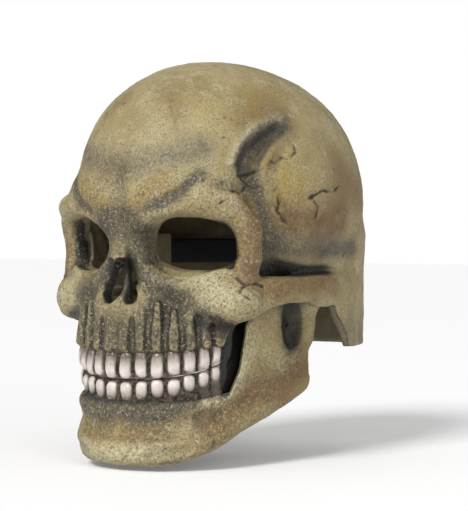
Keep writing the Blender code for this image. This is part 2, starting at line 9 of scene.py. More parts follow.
import bmesh
import bpy
import numpy as np
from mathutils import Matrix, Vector


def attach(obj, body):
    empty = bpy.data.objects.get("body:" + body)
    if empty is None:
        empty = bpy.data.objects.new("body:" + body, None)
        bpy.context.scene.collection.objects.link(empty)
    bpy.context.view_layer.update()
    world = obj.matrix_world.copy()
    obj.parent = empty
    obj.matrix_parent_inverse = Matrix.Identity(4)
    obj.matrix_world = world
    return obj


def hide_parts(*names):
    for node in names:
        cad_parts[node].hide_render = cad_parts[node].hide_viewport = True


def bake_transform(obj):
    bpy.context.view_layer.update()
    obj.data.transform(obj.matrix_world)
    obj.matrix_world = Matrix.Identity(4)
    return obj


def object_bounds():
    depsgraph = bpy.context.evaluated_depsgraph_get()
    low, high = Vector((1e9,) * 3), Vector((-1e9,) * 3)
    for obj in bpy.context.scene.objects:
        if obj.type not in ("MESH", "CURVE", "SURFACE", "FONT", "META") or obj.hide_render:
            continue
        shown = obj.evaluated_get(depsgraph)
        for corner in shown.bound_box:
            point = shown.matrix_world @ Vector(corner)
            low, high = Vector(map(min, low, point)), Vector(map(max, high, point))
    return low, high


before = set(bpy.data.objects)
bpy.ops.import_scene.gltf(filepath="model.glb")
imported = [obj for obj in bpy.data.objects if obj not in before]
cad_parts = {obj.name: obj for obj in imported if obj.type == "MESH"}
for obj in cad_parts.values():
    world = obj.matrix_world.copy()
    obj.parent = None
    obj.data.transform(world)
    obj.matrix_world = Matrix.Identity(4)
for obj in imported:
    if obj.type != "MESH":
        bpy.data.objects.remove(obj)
CAD_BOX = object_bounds()

MM = 0.001
CELL = 1.25  # mesh step on the face
BACK_CELL = 2.1  # mesh step on the back of the head
TOOTH_CELL = 0.75
SOFT_CELL = 1.7
CELL_GROWTH = 0.06  # of the mesh step, per millimetre beyond the face

# camera, worked out from the photograph
VIEW_AZIMUTH = 35.0
VIEW_ELEVATION = 2.0
VIEW_DISTANCE = 1.35  # metres from the origin
VIEW_SCALE = 1.393  # pixels per millimetre at the origin
PHOTO_SIZE = (468, 511)
ORIGIN_PIXEL = (227, 292)
SENSOR = 36

# light
SKY_LIGHT = 0.42
FLOOR_GLOW = 0.13  # lifts the floor to the photograph's white, for the camera only

# castings
CAST_AXIS_Z = 70.0  # the inside of the crown is measured from this height
SKULL_WALL = 5.0  # behind all skin within WALL_TURN degrees and WALL_LIFT
WALL_TURN = 3.0
WALL_LIFT = 5.0
JAW_WALL = 5.0
LEAST_WALL = 1.8  # under the deepest sculpted hollow
JAW_PLAY = 0.8  # between jaw and skull, kept while the jaw opens
JAW_TURNS = (0, 7, 14, 20)  # degrees open at which that play is kept
JAW_MEETS_Z = -48.0  # the jaw lies clear of the skull below this
HINGE_REACH = 18.0  # only this near the hinge can the opening jaw meet the skull

# teeth
BITE_Z = -54.5
BITE_RISE = 12.0  # towards the last tooth
GUM_UPPER_Z = -38.0
GUM_LOWER_Z = -69.0
TOOTH_WIDTHS = (12.5, 11.5, 11.5, 11.5, 11.0, 10.5, 9.5)
CROWN_DEPTH = 4.6
UPPER_CROWN = 21.0  # heights of the front crowns; the last ones lose some
LOWER_CROWN = 15.5
CROWN_LOSS = 5.0
TRIM = 0.6  # how much each crown is worn down, times its own figure below
UPPER_TRIM = (0.2, 1.3, -0.6, 0.7, 1.0, 0.3, 1.3)
UPPER_LEAN = (0.03, -0.05, 0.04, -0.06, 0.03, -0.04, 0.05)
LOWER_TRIM = (0.8, 0.2, -0.6, 1.2, 0.1, 1.0, 0.4)
LOWER_LEAN = (-0.05, 0.07, -0.04, 0.08, -0.06, 0.03, -0.05)
BED_HALF = 2.4  # half the thickness of the strip behind the crowns
BED_END = 33.0  # its end, as an angle from the front
BITE_GAP = 0.15  # from the bite to either strip
ROOT_TOPS = (-8, -10, -4, -9, -11, -14, -18)
GROOVE_TOPS = (-10, -10, -7, -12, -13, -16)

# plan of the tooth arch, outer face, from the middle to the last tooth
ARCH = ((0, -128.5), (10, -128), (19, -126), (29, -122), (38, -117), (46, -111), (52, -103), (56, -94),
        (58.5, -84))
PLAN = np.array(ARCH, float)
EVENLY = np.linspace(0, 1, len(ARCH))

# big forms of the head, centre and radii
VAULT_BACK = ((0, 12, 66), (90, 94, 94))
VAULT_FRONT = ((0, -40, 75), (78, 83, 83))
TEMPLE = ((66, -14, 56), (24, 44, 40))
MIDFACE = ((0, -66, 8), (64, 52, 58))
CHEEK = ((63, -84, -2), (21, 16, 15))
ORBIT = ((43, -118, 33), (27, 32, 20))
CANINE_HOLLOW = ((37, -121, -10), (12, 9, 10))

# ridges and grooves, each a chain of x, y, z, radius
BROW = ((0, -112, 52, 11), (14, -114, 51, 11), (30, -113, 57, 11), (48, -106, 62, 10), (66, -92, 60, 10),
        (74, -80, 48, 8))
UPPER_BROW = ((8, -114, 64, 9), (30, -112, 71, 8), (50, -101, 74, 6))
ORBIT_PILLAR = ((74, -80, 48, 8), (74, -79, 26, 8), (69, -83, 8, 10))
CHEEK_RIDGE = ((64, -86, -2, 13), (47, -97, 4, 11), (31, -107, 9, 9), (21, -112, 20, 7))
CHEEK_BUTTRESS = ((56, -88, -8, 11), (50, -88, -26, 8))
CHEEK_ARCH = ((68, -80, -4, 13), (75, -58, -1, 10), (77, -32, -1, 10), (75, 2, 0, 12.5), (78, 22, 6, 9))
MASTOID = ((74, 26, 0, 10), (72, 26, -24, 9))
NOSE_RIDGE = ((0, -113, 50, 7), (0, -121, 37, 6.5), (0, -124.5, 25, 6))
NOSE_RIM = ((11, -111, 44, 6), (16, -114, 14, 6), (20, -116, -6, 6), (12, -119, -13, 6), (0, -120, -14, 6))
TEMPLE_HOLLOW = ((92, -46, 24, 11), (90, -58, 42, 14), (84, -68, 62, 14), (78, -72, 82, 12),
                 (78, -56, 102, 9), (82, -36, 116, 6))
JAW_BORDER = ((0, -119, -104, 9), (24, -117, -104, 9), (42, -105, -101, 8.5), (54, -86, -92, 8),
              (60, -62, -81, 7.5), (66, -34, -71, 7), (69, -12, -62, 7.5))
JAW_RIDGE = ((58, -65, -18, 5), (57.5, -69, -46, 5), (54, -82, -63, 5.5), (47, -99, -76, 5))
JAW_NECK = ((70, -8, -30, 6.5), (71, -3, -4, 7))

# more forms of the jaw, centre and radii
JAW_NOTCH = ((74, -26, -20), (9, 9, 17))
JAW_BOSS = ((72, 0, 0), (9, 12, 12))
CHIN = ((0, -120, -102), (26, 12, 13))
CHIN_SIDE = ((30, -114, -105), (13, 12, 11))

# standing walls, each a chain of x, y, low z, high z, half thickness
NAPE = [(x, y, -40, 40, 6) for x, y in ((76, 14), (77, 40), (64, 72), (36, 90), (0, 95))]
JAW_BRANCH = ((54, -80, -88, -66, 5.5), (58, -66, -82, -26, 5), (61, -58, -80, -8, 5), (66, -36, -72, -6, 5),
              (71, -12, -62, -5, 5))

# edges of the castings, angle from the front and height
SKULL_EDGE = ((0, GUM_UPPER_Z), (31, -36), (33.5, -33), (36, -22), (39, -17), (45, -13), (52, -7), (60, -4.5),
              (73, -4.5), (82, -8.5), (98, -9), (112, -38), (180, -40))
JAW_TOP = ((0, GUM_LOWER_Z), (26, -68), (31, -66), (36, -65), (40, -50), (43, -20), (47, -3), (60, -0.5),
           (73, -0.5), (80, -2), (84, 8), (97, 7))
JAW_LOW = ((0, -112), (12, -112), (22, -109), (30, -103), (40, -93), (55, -84), (70, -75), (80, -67),
           (85, -56), (88, -30), (90.5, -11), (97, -7))

# eye hole, an outline in x and z on the mask's left side
EYE_CENTRE = (42.5, 35.5)
EYE_HALF = (22.5, 17.5)
EYE_TILT = 6.0
EYE_UNDERCUT = 8.0
EYE_BACK_Y = -77.0
RIM_ANGLE = (44, 6)  # outer rim: middle and half of its span of angles, then of heights
RIM_HEIGHT = (32, 22)

# nostril, two rounds in x and z either side of a thin septum
NOSTRIL = ((3.4, 0, 23, 3.2), (8.5, 0, 1.5, 5.6))
SEPTUM_HALF = 1.5
SEPTUM_FRONT_Y = -117.0
NOSTRIL_BACK_Y = -98.0

# soft pieces; a pad is two angles from the front, then two heights
CROWN_SEAT_Z = 130.0
CROWN_PAD_RADIUS = 34.0
FOREHEAD_PAD = (-27, 27, 76, 102)
FOREHEAD_PAD_DEPTH = 12.0
TEMPLE_PAD = (71, 92, 46, 80)
TEMPLE_PAD_RIGHT = (-92, -71, 46, 80)
TEMPLE_PAD_DEPTH = 9.0
CHIN_CUP = (-19, 19, -106, -86)
CHIN_CUP_DEPTH = 9.0
PAD_SEAT = 0.5
PAD_CORNER = 3.0


# Form functions: signed distance, negative inside, for an array of points.

def smooth_union(a, b, blend):
    h = np.maximum(blend - np.abs(a - b), 0.0) / blend
    return np.minimum(a, b) - h * h * blend / 4


def smooth_cut(a, b, blend):
    return -smooth_union(-a, b, blend)


def ellipsoid(p, form):
    centre, radii = np.array(form[0], float), np.array(form[1], float)
    q = (p - centre) / radii
    k0 = np.linalg.norm(q, axis=1)
    k1 = np.linalg.norm(q / radii, axis=1)
    return k0 * (k0 - 1) / np.maximum(k1, 1e-9)


def spans(p, stations, axes):
    """For each two neighbouring stations: the distance from the line between them, and their values there."""
    for a, b in zip(np.array(stations[:-1], float), np.array(stations[1:], float)):
        axis, from_a = b[:axes] - a[:axes], p[:, :axes] - a[:axes]
        h = np.clip(from_a @ axis / (axis @ axis), 0, 1)
        yield np.linalg.norm(from_a - h[:, None] * axis, axis=1), a[axes:, None] + h * (b - a)[axes:, None]


def rod(p, stations):
    return np.minimum.reduce([reach - radius for reach, (radius,) in spans(p, stations, 3)])


def ribbon(p, stations):
    best = np.full(len(p), 1e9)
    for across, (low, high, half) in spans(p, stations, 2):
        beyond = np.maximum(np.maximum(low - p[:, 2], p[:, 2] - high), 0)
        best = np.minimum(best, np.hypot(across, beyond) - half)
    return best


def nearest(p, chains):
    return np.minimum.reduce([rod(p, chain) for chain in chains])


def thread(line):
    """Stations of a chain without thickness."""
    return [(*at, 0) for at in line]


def distance(p, form):
    """Distance from a form, which is a function, an ellipsoid, a rod or a ribbon."""
    if callable(form):
        return form(p)
    return {3: ellipsoid, 4: rod, 5: ribbon}[len(form[0])](p, form)


def sculpted(p, d, steps):
    """Adds forms one after the other, each with its blend; a form whose blend is negative is cut away."""
    for form, blend in steps:
        if blend > 0:
            d = smooth_union(d, distance(p, form), blend)
        else:
            d = smooth_cut(d, distance(p, form), -blend)
    return d


def folded(p):
    return np.column_stack([np.abs(p[:, 0]), p[:, 1], p[:, 2]])


def around(p):
    return np.degrees(np.arctan2(np.abs(p[:, 0]), -p[:, 1]))


def table(pairs, angle):
    return np.interp(np.abs(angle), [a for a, _ in pairs], [b for _, b in pairs])


def arch_wall(inset, low, high, rise, half):
    """Stations of a wall inside the tooth arch, its lower edge climbing towards the back."""
    along = np.gradient(PLAN, axis=0)
    along[0] = (1, 0)
    along /= np.linalg.norm(along, axis=1)[:, None]
    plan = PLAN + np.column_stack([-along[:, 1], along[:, 0]]) * inset
    return [(x, y, low + rise * t * t, high + min(rise, 0) * t, half) for (x, y), t in zip(plan, EVENLY)]


UPPER_WALL = arch_wall(9.5, GUM_UPPER_Z + 4, -8, 9, 8.5)
LOWER_WALL = [(x, y, low, high + 8 * t * t, half) for (x, y, low, high, half), t in
              zip(arch_wall(9.0, -100, GUM_LOWER_Z - 7, 8, 7.5), EVENLY)][:-1]


def tooth_sites():
    """For each tooth of one side: its place on the arch, the arch's direction there, its width and run."""
    run = np.concatenate([[0], np.cumsum(np.linalg.norm(np.diff(PLAN, axis=0), axis=1))])
    sites = []
    for middle, width in zip(np.cumsum(TOOTH_WIDTHS) - np.array(TOOTH_WIDTHS) / 2, TOOTH_WIDTHS):
        at, ahead, behind = (np.array([np.interp(s, run, PLAN[:, k]) for k in (0, 1)])
                             for s in (middle, middle + 2, middle - 2))
        way = (ahead - behind) / np.linalg.norm(ahead - behind)
        sites.append((at, way, width, middle / run[-1]))
    return sites


SITES = tooth_sites()


def upper_roots(p):
    """Ridges over the roots of the upper teeth."""
    return nearest(p, [((at[0] * 0.98, at[1] * 0.983, GUM_UPPER_Z + 3, width * 0.36),
                        (at[0] * 0.97, at[1] * 0.985, GUM_UPPER_Z + 14, width * 0.33),
                        (at[0] * 0.96, at[1] * 0.975, top, 2.0))
                       for (at, _, width, _), top in zip(SITES, ROOT_TOPS)])


def upper_grooves(p):
    """Grooves between those ridges."""
    chains = []
    for (at, way, width, _), top in zip(SITES[:-1], GROOVE_TOPS):
        x, y = at + way * width / 2
        chains.append(((x, y * 0.998, GUM_UPPER_Z - 2, 2.0), (x * 0.98, y * 0.992, top, 1.2)))
    return nearest(p, chains)


def lower_roots(p):
    return nearest(p, [((at[0] * 0.955, at[1] * 0.968, GUM_LOWER_Z - 2 + 4 * run * run, width * 0.34),
                        (at[0] * 0.935, at[1] * 0.958, -87 + 7 * run * run, 2.2))
                       for at, _, width, run in SITES[:6]])


def gum_groove(z, rise, radius):
    """A chain along the outer face of the arch at the gum."""
    return [(x, y - 1.5, z + rise * t * t, radius) for (x, y), t in zip(ARCH, EVENLY)]


def eye_opening(p):
    lean = math.radians(EYE_TILT)
    a, b = p[:, 0] - EYE_CENTRE[0], p[:, 2] - EYE_CENTRE[1]
    a = np.where(a < 0, np.minimum(a + np.clip(0.6 * (p[:, 1] + 112), 0, EYE_UNDERCUT), 0), a)
    u = (a * math.cos(lean) - b * math.sin(lean)) / EYE_HALF[0]
    v = (a * math.sin(lean) + b * math.cos(lean)) / EYE_HALF[1]
    reach = (np.abs(u) ** 2.5 + np.abs(v) ** 2.5) ** 0.4
    return np.maximum((reach - 1) * 16, p[:, 1] - EYE_BACK_Y)


def nostrils(p):
    hole = rod(p * (1, 0, 1), NOSTRIL)
    hole = smooth_cut(hole, np.maximum(p[:, 0] - SEPTUM_HALF, SEPTUM_FRONT_Y - p[:, 1]), 2)
    return np.maximum(hole, p[:, 1] - NOSTRIL_BACK_Y)


# big forms in the order they are added, each with its blend; a negative blend cuts
SKULL_STEPS = (
    (VAULT_FRONT, 30), (TEMPLE, 16), (NAPE, 14), (MIDFACE, 18), (UPPER_WALL, 10), (CHEEK_BUTTRESS, 10),
    (BROW, 8), (UPPER_BROW, 10), (ORBIT_PILLAR, 8), (CHEEK, 8), (CHEEK_RIDGE, 8), (CHEEK_ARCH, 7),
    (MASTOID, 12), (NOSE_RIDGE, 9), (NOSE_RIM, 8), (TEMPLE_HOLLOW, -6), (ORBIT, -7), (CANINE_HOLLOW, -8),
)
JAW_STEPS = (
    (JAW_BORDER, 9), (JAW_BRANCH, 7), (JAW_RIDGE, 6), (JAW_NOTCH, -4), (JAW_NECK, 6), (CHIN, 8),
    (CHIN_SIDE, 8), (JAW_BOSS, 4),
)


def skull_form(p):
    p = folded(p)
    return sculpted(p, ellipsoid(p, VAULT_BACK), SKULL_STEPS)


def jaw_form(p):
    p = folded(p)
    return sculpted(p, ribbon(p, LOWER_WALL), JAW_STEPS)


# Finer sculpture that the castings carry on top of those forms.

BROW_MOUND = ((13, -118, 60, 9.2), (25, -115.5, 67, 9.2), (36, -109, 75, 7.5), (47, -99, 84, 4))
BROW_CREASE = ((24, -128, 56, 2.2), (31, -126, 60, 2.6), (38, -122, 65, 2.6), (45, -117, 71, 2.2),
               (53, -107, 81, 1.0))
BROW_VALLEY = ((0, -129, 88, 7.5), (14, -127, 90, 8), (24, -124, 93, 8), (33, -120, 96, 7.5),
               (43, -110, 99, 4))
FROWN = ((0, -129, 84, 2.5), (0, -130, 72, 4), (0, -129, 60, 3), (0, -127, 53, 2))
FROWN_FOLD = ((7, -129, 78, 1.2), (8, -130, 68, 2.0), (7, -128.5, 59, 1.4))
TEMPLE_GROOVE = ((76, -39, 119, 6), (75, -55, 111, 8), (74.5, -68, 104, 9), (74, -77, 96, 9),
                 (73, -80, 88, 7.5), (72.5, -76, 80, 6))
SQUAMA_EDGE = ((75, -35, 108, 3), (71, -50, 98, 4), (69, -58, 88, 4), (70, -60, 76, 4), (72, -56, 64, 3))
LOWER_LID = ((22, -117, 22, 3.0), (34, -110, 15, 3.2), (50, -100, 13, 3.2), (63, -91, 17, 3))
NOSE_WING = ((15, -121, 6, 3.4), (18, -120, -5, 3.6), (11, -123.5, -11, 3.4))
CANINE_PIT = ((26, -125, 4, 5), (35, -121, 0, 6), (44, -116, -6, 5))
UNDER_CHEEK = ((50, -110, -16, 5), (58, -102, -20, 6), (63, -94, -24, 6))
CHEEK_EDGE = ((48, -104, -1, 3), (60, -98, -8, 3.5), (72, -91, -11, 4), (79, -82, -6, 4), (82, -66, -1, 3))
OBLIQUE_LINE = ((61, -67, -27, 3.2), (59.5, -71, -39, 3.2), (57, -77, -50, 3.4), (54, -86, -60, 3.4),
                (48, -99, -67, 3.2), (40, -108, -72, 2.6))
JAW_HOLLOW = ((0, -133, -87, 5.5), (18, -130, -87, 6), (34, -123, -86, 5), (46, -112, -82, 3.5),
              (57, -97, -76, 2.5))
BRANCH_HOLLOW = ((72, -52, -44, 6), (75, -36, -48, 7), (77, -22, -44, 5))
CHIN_CORNER = ((34, -131, -108, 9), (44, -124, -106, 9), (54, -112, -102, 6))
CHIN_BOSS = ((0, -121, -100, 9), (16, -120, -101, 8))
NOTCH_BACK = ((59.5, -27, -34, 5.5), (59.5, -27, -6, 5.5))
ARCH_TOP = ((74, -76, 8, 7), (77, -58, 8, 6), (79, -34, 8.5, 5.5), (80, -8, 9, 6), (82, 14, 10, 4))

FINE_SKULL_STEPS = (
    (BROW_MOUND, 5), (LOWER_LID, 4), (CHEEK_EDGE, 4), (ARCH_TOP, 4), (BROW_VALLEY, -7), (BROW_CREASE, -3),
    (FROWN, -5), (FROWN_FOLD, -3), (TEMPLE_GROOVE, -2.5), (SQUAMA_EDGE, 3), (ORBIT, -3.5), (CANINE_PIT, -5),
    (UNDER_CHEEK, -5), (upper_roots, 2.5), (upper_grooves, -2), (gum_groove(GUM_UPPER_Z - 1, 3, 3.0), -4),
    (NOSE_WING, 3),
)
FINE_JAW_STEPS = (
    (CHIN_BOSS, 5), (NOTCH_BACK, 2), (JAW_HOLLOW, -6), (BRANCH_HOLLOW, -6), (CHIN_CORNER, -6),
    (lower_roots, 3), (gum_groove(GUM_LOWER_Z + 2, 4, 2.6), -4), (OBLIQUE_LINE, 2.5),
)
FINE_REACH = 14.0  # how far from the surface the finer sculpture is worked out


def refined(plain, steps, p):
    """Distances of a plain form with its finer sculpture."""
    d = plain.copy()
    close = np.abs(d) < FINE_REACH
    if close.any():
        d[close] = sculpted(folded(p[close]), d[close], steps)
    return d


def open_skull(p):
    return smooth_cut(refined(skull_form(p), FINE_SKULL_STEPS, p), nostrils(folded(p)), 1.5)


def jaw_trimmed(d, p):
    return smooth_cut(d, p[:, 2] - table(JAW_LOW, around(p)), 6)


def open_jaw(p):
    return jaw_trimmed(refined(jaw_form(p), FINE_JAW_STEPS, p), p)


# The inside of each casting, as a reach from its upright axis, kept in a grid of angles and heights.

ANGLE_STEP = 1.5
HEIGHT_STEP = 2.5
RAY_STEP = 2.0


def crossing(form, start, way):
    """Distance along each ray to where it leaves the form for the last time."""
    steps = np.arange(40.0, 160.0, RAY_STEP)
    inside = np.stack([form(start + way * s) < 0 for s in steps])
    hit = inside.any(axis=0)
    low = steps[len(steps) - 1 - np.argmax(inside[::-1], axis=0)]
    high = low + RAY_STEP
    for _ in range(12):
        mid = (low + high) / 2
        within = form(start + way * mid[:, None]) < 0
        low = np.where(within, mid, low)
        high = np.where(within, high, mid)
    return np.where(hit, low, np.nan)


def filled(rows):
    """Gaps in a grid take the value of the row above, or below for the first rows."""
    rows = np.array(rows)
    for i in range(1, len(rows)):
        rows[i] = np.where(np.isnan(rows[i]), rows[i - 1], rows[i])
    for i in range(len(rows) - 2, -1, -1):
        rows[i] = np.where(np.isnan(rows[i]), rows[i + 1], rows[i])
    return rows


def looked_up(grid, rows, cols, row, col):
    """Values of a grid at rows and columns between its own, both evenly spaced."""
    i = np.clip((row - rows[0]) / (rows[1] - rows[0]), 0, len(rows) - 1.001)
    j = np.clip((col - cols[0]) / (cols[1] - cols[0]), 0, len(cols) - 1.001)
    i0, j0 = i.astype(int), j.astype(int)
    a, b = i - i0, j - j0
    return ((1 - a) * (1 - b) * grid[i0, j0] + a * (1 - b) * grid[i0 + 1, j0]
            + (1 - a) * b * grid[i0, j0 + 1] + a * b * grid[i0 + 1, j0 + 1])


def level_reach(form, angles, heights):
    turn, z = np.meshgrid(np.radians(angles), heights)
    way = np.column_stack([np.sin(turn.ravel()), -np.cos(turn.ravel()), np.zeros(turn.size)])
    start = np.column_stack([np.zeros(turn.size), np.zeros(turn.size), z.ravel()])
    return crossing(form, start, way).reshape(turn.shape)


def least_near(grid, rows, cols):
    """The least of each grid value and those within a few rows and columns."""
    padded = np.pad(grid, ((rows, rows), (cols, cols)), mode="reflect")
    shape = grid.shape
    return np.fmin.reduce([padded[i:i + shape[0], j:j + shape[1]]
                           for i in range(2 * rows + 1) for j in range(2 * cols + 1)])


ANGLES = np.arange(0, 181, ANGLE_STEP)
HEIGHTS = np.arange(75.0, -46, -HEIGHT_STEP)
TILTS = np.arange(0, 99, 3.0)

skull_skin = level_reach(skull_form, ANGLES, HEIGHTS)
below_edge = HEIGHTS[:, None] < table(SKULL_EDGE, ANGLES)[None, :] - 0.1
skull_skin = filled(np.where(below_edge, np.nan, skull_skin))
near_skin = least_near(skull_skin, round(WALL_LIFT / HEIGHT_STEP), round(WALL_TURN / ANGLE_STEP))
SKULL_INSIDE = near_skin - SKULL_WALL

tilt, turn = np.meshgrid(np.radians(TILTS), np.radians(ANGLES), indexing="ij")
fan = np.stack([np.sin(tilt) * np.sin(turn), -np.sin(tilt) * np.cos(turn), np.cos(tilt)], -1).reshape(-1, 3)
crown_skin = crossing(skull_form, np.zeros_like(fan) + (0, 0, CAST_AXIS_Z), fan)
CROWN_INSIDE = crown_skin.reshape(tilt.shape) - SKULL_WALL

JAW_ANGLES = np.arange(0, 103, ANGLE_STEP)
JAW_HEIGHTS = np.arange(15.0, -121, -HEIGHT_STEP)
jaw_skin = filled(filled(level_reach(jaw_form, JAW_ANGLES, JAW_HEIGHTS)).T).T
JAW_INSIDE = least_near(jaw_skin, 2, 2) - JAW_WALL


def skull_inside(p):
    """How far a point lies beyond the inside of the skull casting, negative in the head space."""
    angle, reach, z = around(p), np.hypot(p[:, 0], p[:, 1]), p[:, 2]
    level = reach - looked_up(SKULL_INSIDE, HEIGHTS, ANGLES, z, angle)
    up = z - CAST_AXIS_Z
    tilted = np.degrees(np.arctan2(reach, up))
    fanned = np.hypot(reach, up) - looked_up(CROWN_INSIDE, TILTS, ANGLES, tilted, angle)
    mix = np.clip((up + 4) / 8, 0, 1)
    return level * (1 - mix) + fanned * mix


def jaw_inside(p):
    """How far a point lies beyond the inside of the jaw casting, negative in the chin space."""
    return np.hypot(p[:, 0], p[:, 1]) - looked_up(JAW_INSIDE, JAW_HEIGHTS, JAW_ANGLES, p[:, 2], around(p))


def off_eye_rim(p):
    """Distance from the thin wall behind the outer rim of the eye, 0 there."""
    turned = np.maximum(np.abs(around(p) - RIM_ANGLE[0]) - RIM_ANGLE[1], 0)
    return 2 * turned + np.maximum(np.abs(p[:, 2] - RIM_HEIGHT[0]) - RIM_HEIGHT[1], 0)


def skull_casting(p):
    plain = skull_form(p)
    inside = np.maximum(skull_inside(p), plain + LEAST_WALL - off_eye_rim(p))
    skin = np.maximum(plain, inside - LEAST_WALL)
    d = smooth_cut(np.minimum(refined(plain, FINE_SKULL_STEPS, p), skin), inside, 1.0)
    d = smooth_cut(d, nostrils(folded(p)), 1.5)
    d = smooth_cut(d, eye_opening(folded(p)), 2.5)
    return smooth_cut(d, p[:, 2] - table(SKULL_EDGE, around(p)), 2)


def opened(p, turn):
    """Where points of the jaw lie once it has opened by an angle in degrees."""
    c, s = math.cos(math.radians(turn)), math.sin(math.radians(turn))
    return np.column_stack([p[:, 0], p[:, 1] * c - p[:, 2] * s, p[:, 1] * s + p[:, 2] * c])


def jaw_casting(p):
    inside = jaw_inside(p)
    plain = jaw_form(p)
    skin = np.maximum(plain, inside - LEAST_WALL)
    d = smooth_cut(np.minimum(refined(plain, FINE_JAW_STEPS, p), skin), inside, 1.5)
    d = np.maximum(jaw_trimmed(d, p), p[:, 2] - table(JAW_TOP, around(p)) - 1)
    for turn in JAW_TURNS:
        near = (p[:, 2] > JAW_MEETS_Z) & (d < 12)
        if turn:
            near &= np.hypot(p[:, 1], p[:, 2]) < HINGE_REACH
        if near.any():
            d[near] = np.maximum(d[near], JAW_PLAY - skull_casting(opened(p[near], turn)))
    return d


def tooth(p, site, low, high, tip, inset, lean):
    """One crown; tip is 1 when it bites downwards and -1 upwards, and lean is a slope along the arch."""
    at, way, width, _ = site
    out = np.array([way[1], -way[0]])
    q = p[:, :2] - at
    v = (p[:, 2] - (low + high) / 2) / ((high - low) / 2)
    u = (q @ way - lean * (p[:, 2] - (low + high) / 2)) / (width / 2 * (0.80 - 0.13 * v * tip))
    w = (q @ out + CROWN_DEPTH + inset + 0.7 * v * tip) / CROWN_DEPTH
    k = (np.abs(u) ** 2.8 + np.abs(v) ** 2.7 + np.abs(w) ** 2.4) ** (1 / 2.6)
    return (k - 1) * min(width / 2, CROWN_DEPTH) * 0.8


def bite_at(run):
    return BITE_Z + BITE_RISE * run ** 2.2


def over_bite(p):
    """Height of each point over the line of the bite."""
    return p[:, 2] - bite_at(np.interp(around(p), around(PLAN), EVENLY))


def bed(p, low, high, inset):
    """The strip that a row of crowns stands on, between two heights over the bite."""
    face = np.interp(around(p), around(PLAN), np.hypot(*PLAN.T))
    deep = np.abs(np.hypot(p[:, 0], p[:, 1]) - face + inset + BED_HALF) - BED_HALF
    height = over_bite(p)
    return np.maximum.reduce([deep, low - height, height - high, around(p) - BED_END])


def upper_teeth(p):
    p = folded(p)
    d = bed(p, BITE_GAP, 22, 3.4)
    for site, trim, lean in zip(SITES, UPPER_TRIM, UPPER_LEAN):
        low = bite_at(site[3]) + 0.5 + trim * TRIM
        d = np.minimum(d, tooth(p, site, low, low + UPPER_CROWN - CROWN_LOSS * site[3], 1, 0, lean))
    return d


def lower_teeth(p):
    p = folded(p)
    d = bed(p, -21, -BITE_GAP, 4.2)
    for site, trim, lean in zip(SITES, LOWER_TRIM, LOWER_LEAN):
        high = bite_at(site[3]) - 0.8 - trim * TRIM
        d = np.minimum(d, tooth(p, site, high - LOWER_CROWN + CROWN_LOSS * site[3], high, -1, 1.2, lean))
    return d


# Surface of a form as a mesh of quads.

def stepped(low, high, fine_low, fine_high, fine, coarse):
    """Grid lines that are close together between two places and further apart beyond them."""
    lines = [fine_low]
    while lines[-1] < high:
        over = max(lines[-1] - fine_high, 0)
        lines.append(lines[-1] + min(coarse, fine + over * CELL_GROWTH))
    while lines[0] > low:
        lines.insert(0, lines[0] - min(coarse, fine + (fine_low - lines[0]) * CELL_GROWTH))
    return np.array(lines)


def grid_points(xs, ys, zs):
    return np.stack(np.meshgrid(xs, ys, zs, indexing="ij"), -1).reshape(-1, 3)


def sampled(form, lines, factor=4, reach=1.5):
    """The form's distance at every grid corner; far from the surface only the sign is kept."""
    full_lines = []
    for line in lines:
        short = -(len(line) - 1) % factor
        full_lines.append(np.concatenate([line, line[-1] + (line[-1] - line[-2]) * np.arange(1, short + 1)]))
    coarse = [line[::factor] for line in full_lines]
    middles = [(c[1:] + c[:-1]) / 2 for c in coarse]
    shape = [len(m) for m in middles]
    d = form(grid_points(*middles)).reshape(shape)
    size = np.sqrt(sum(np.max(np.diff(c)) ** 2 for c in coarse)) / 2
    near = np.argwhere(np.abs(d) < size * reach)
    values = np.sign(d) * 1e3
    for axis in range(3):
        values = np.repeat(values, factor, axis)
    values = np.pad(values, ((0, 1), (0, 1), (0, 1)), mode="edge")
    block = np.stack(np.meshgrid(*[np.arange(factor + 1)] * 3, indexing="ij"), -1).reshape(-1, 3)
    corners = (near[:, None, :] * factor + block[None]).reshape(-1, 3)
    flat = np.unique(np.ravel_multi_index(corners.T, values.shape))
    i, j, k = np.unravel_index(flat, values.shape)
    out = values.reshape(-1)
    for s in range(0, len(flat), 300000):
        part = slice(s, s + 300000)
        out[flat[part]] = form(np.column_stack([full_lines[0][i[part]], full_lines[1][j[part]],
                                                full_lines[2][k[part]]]))
    return values, full_lines


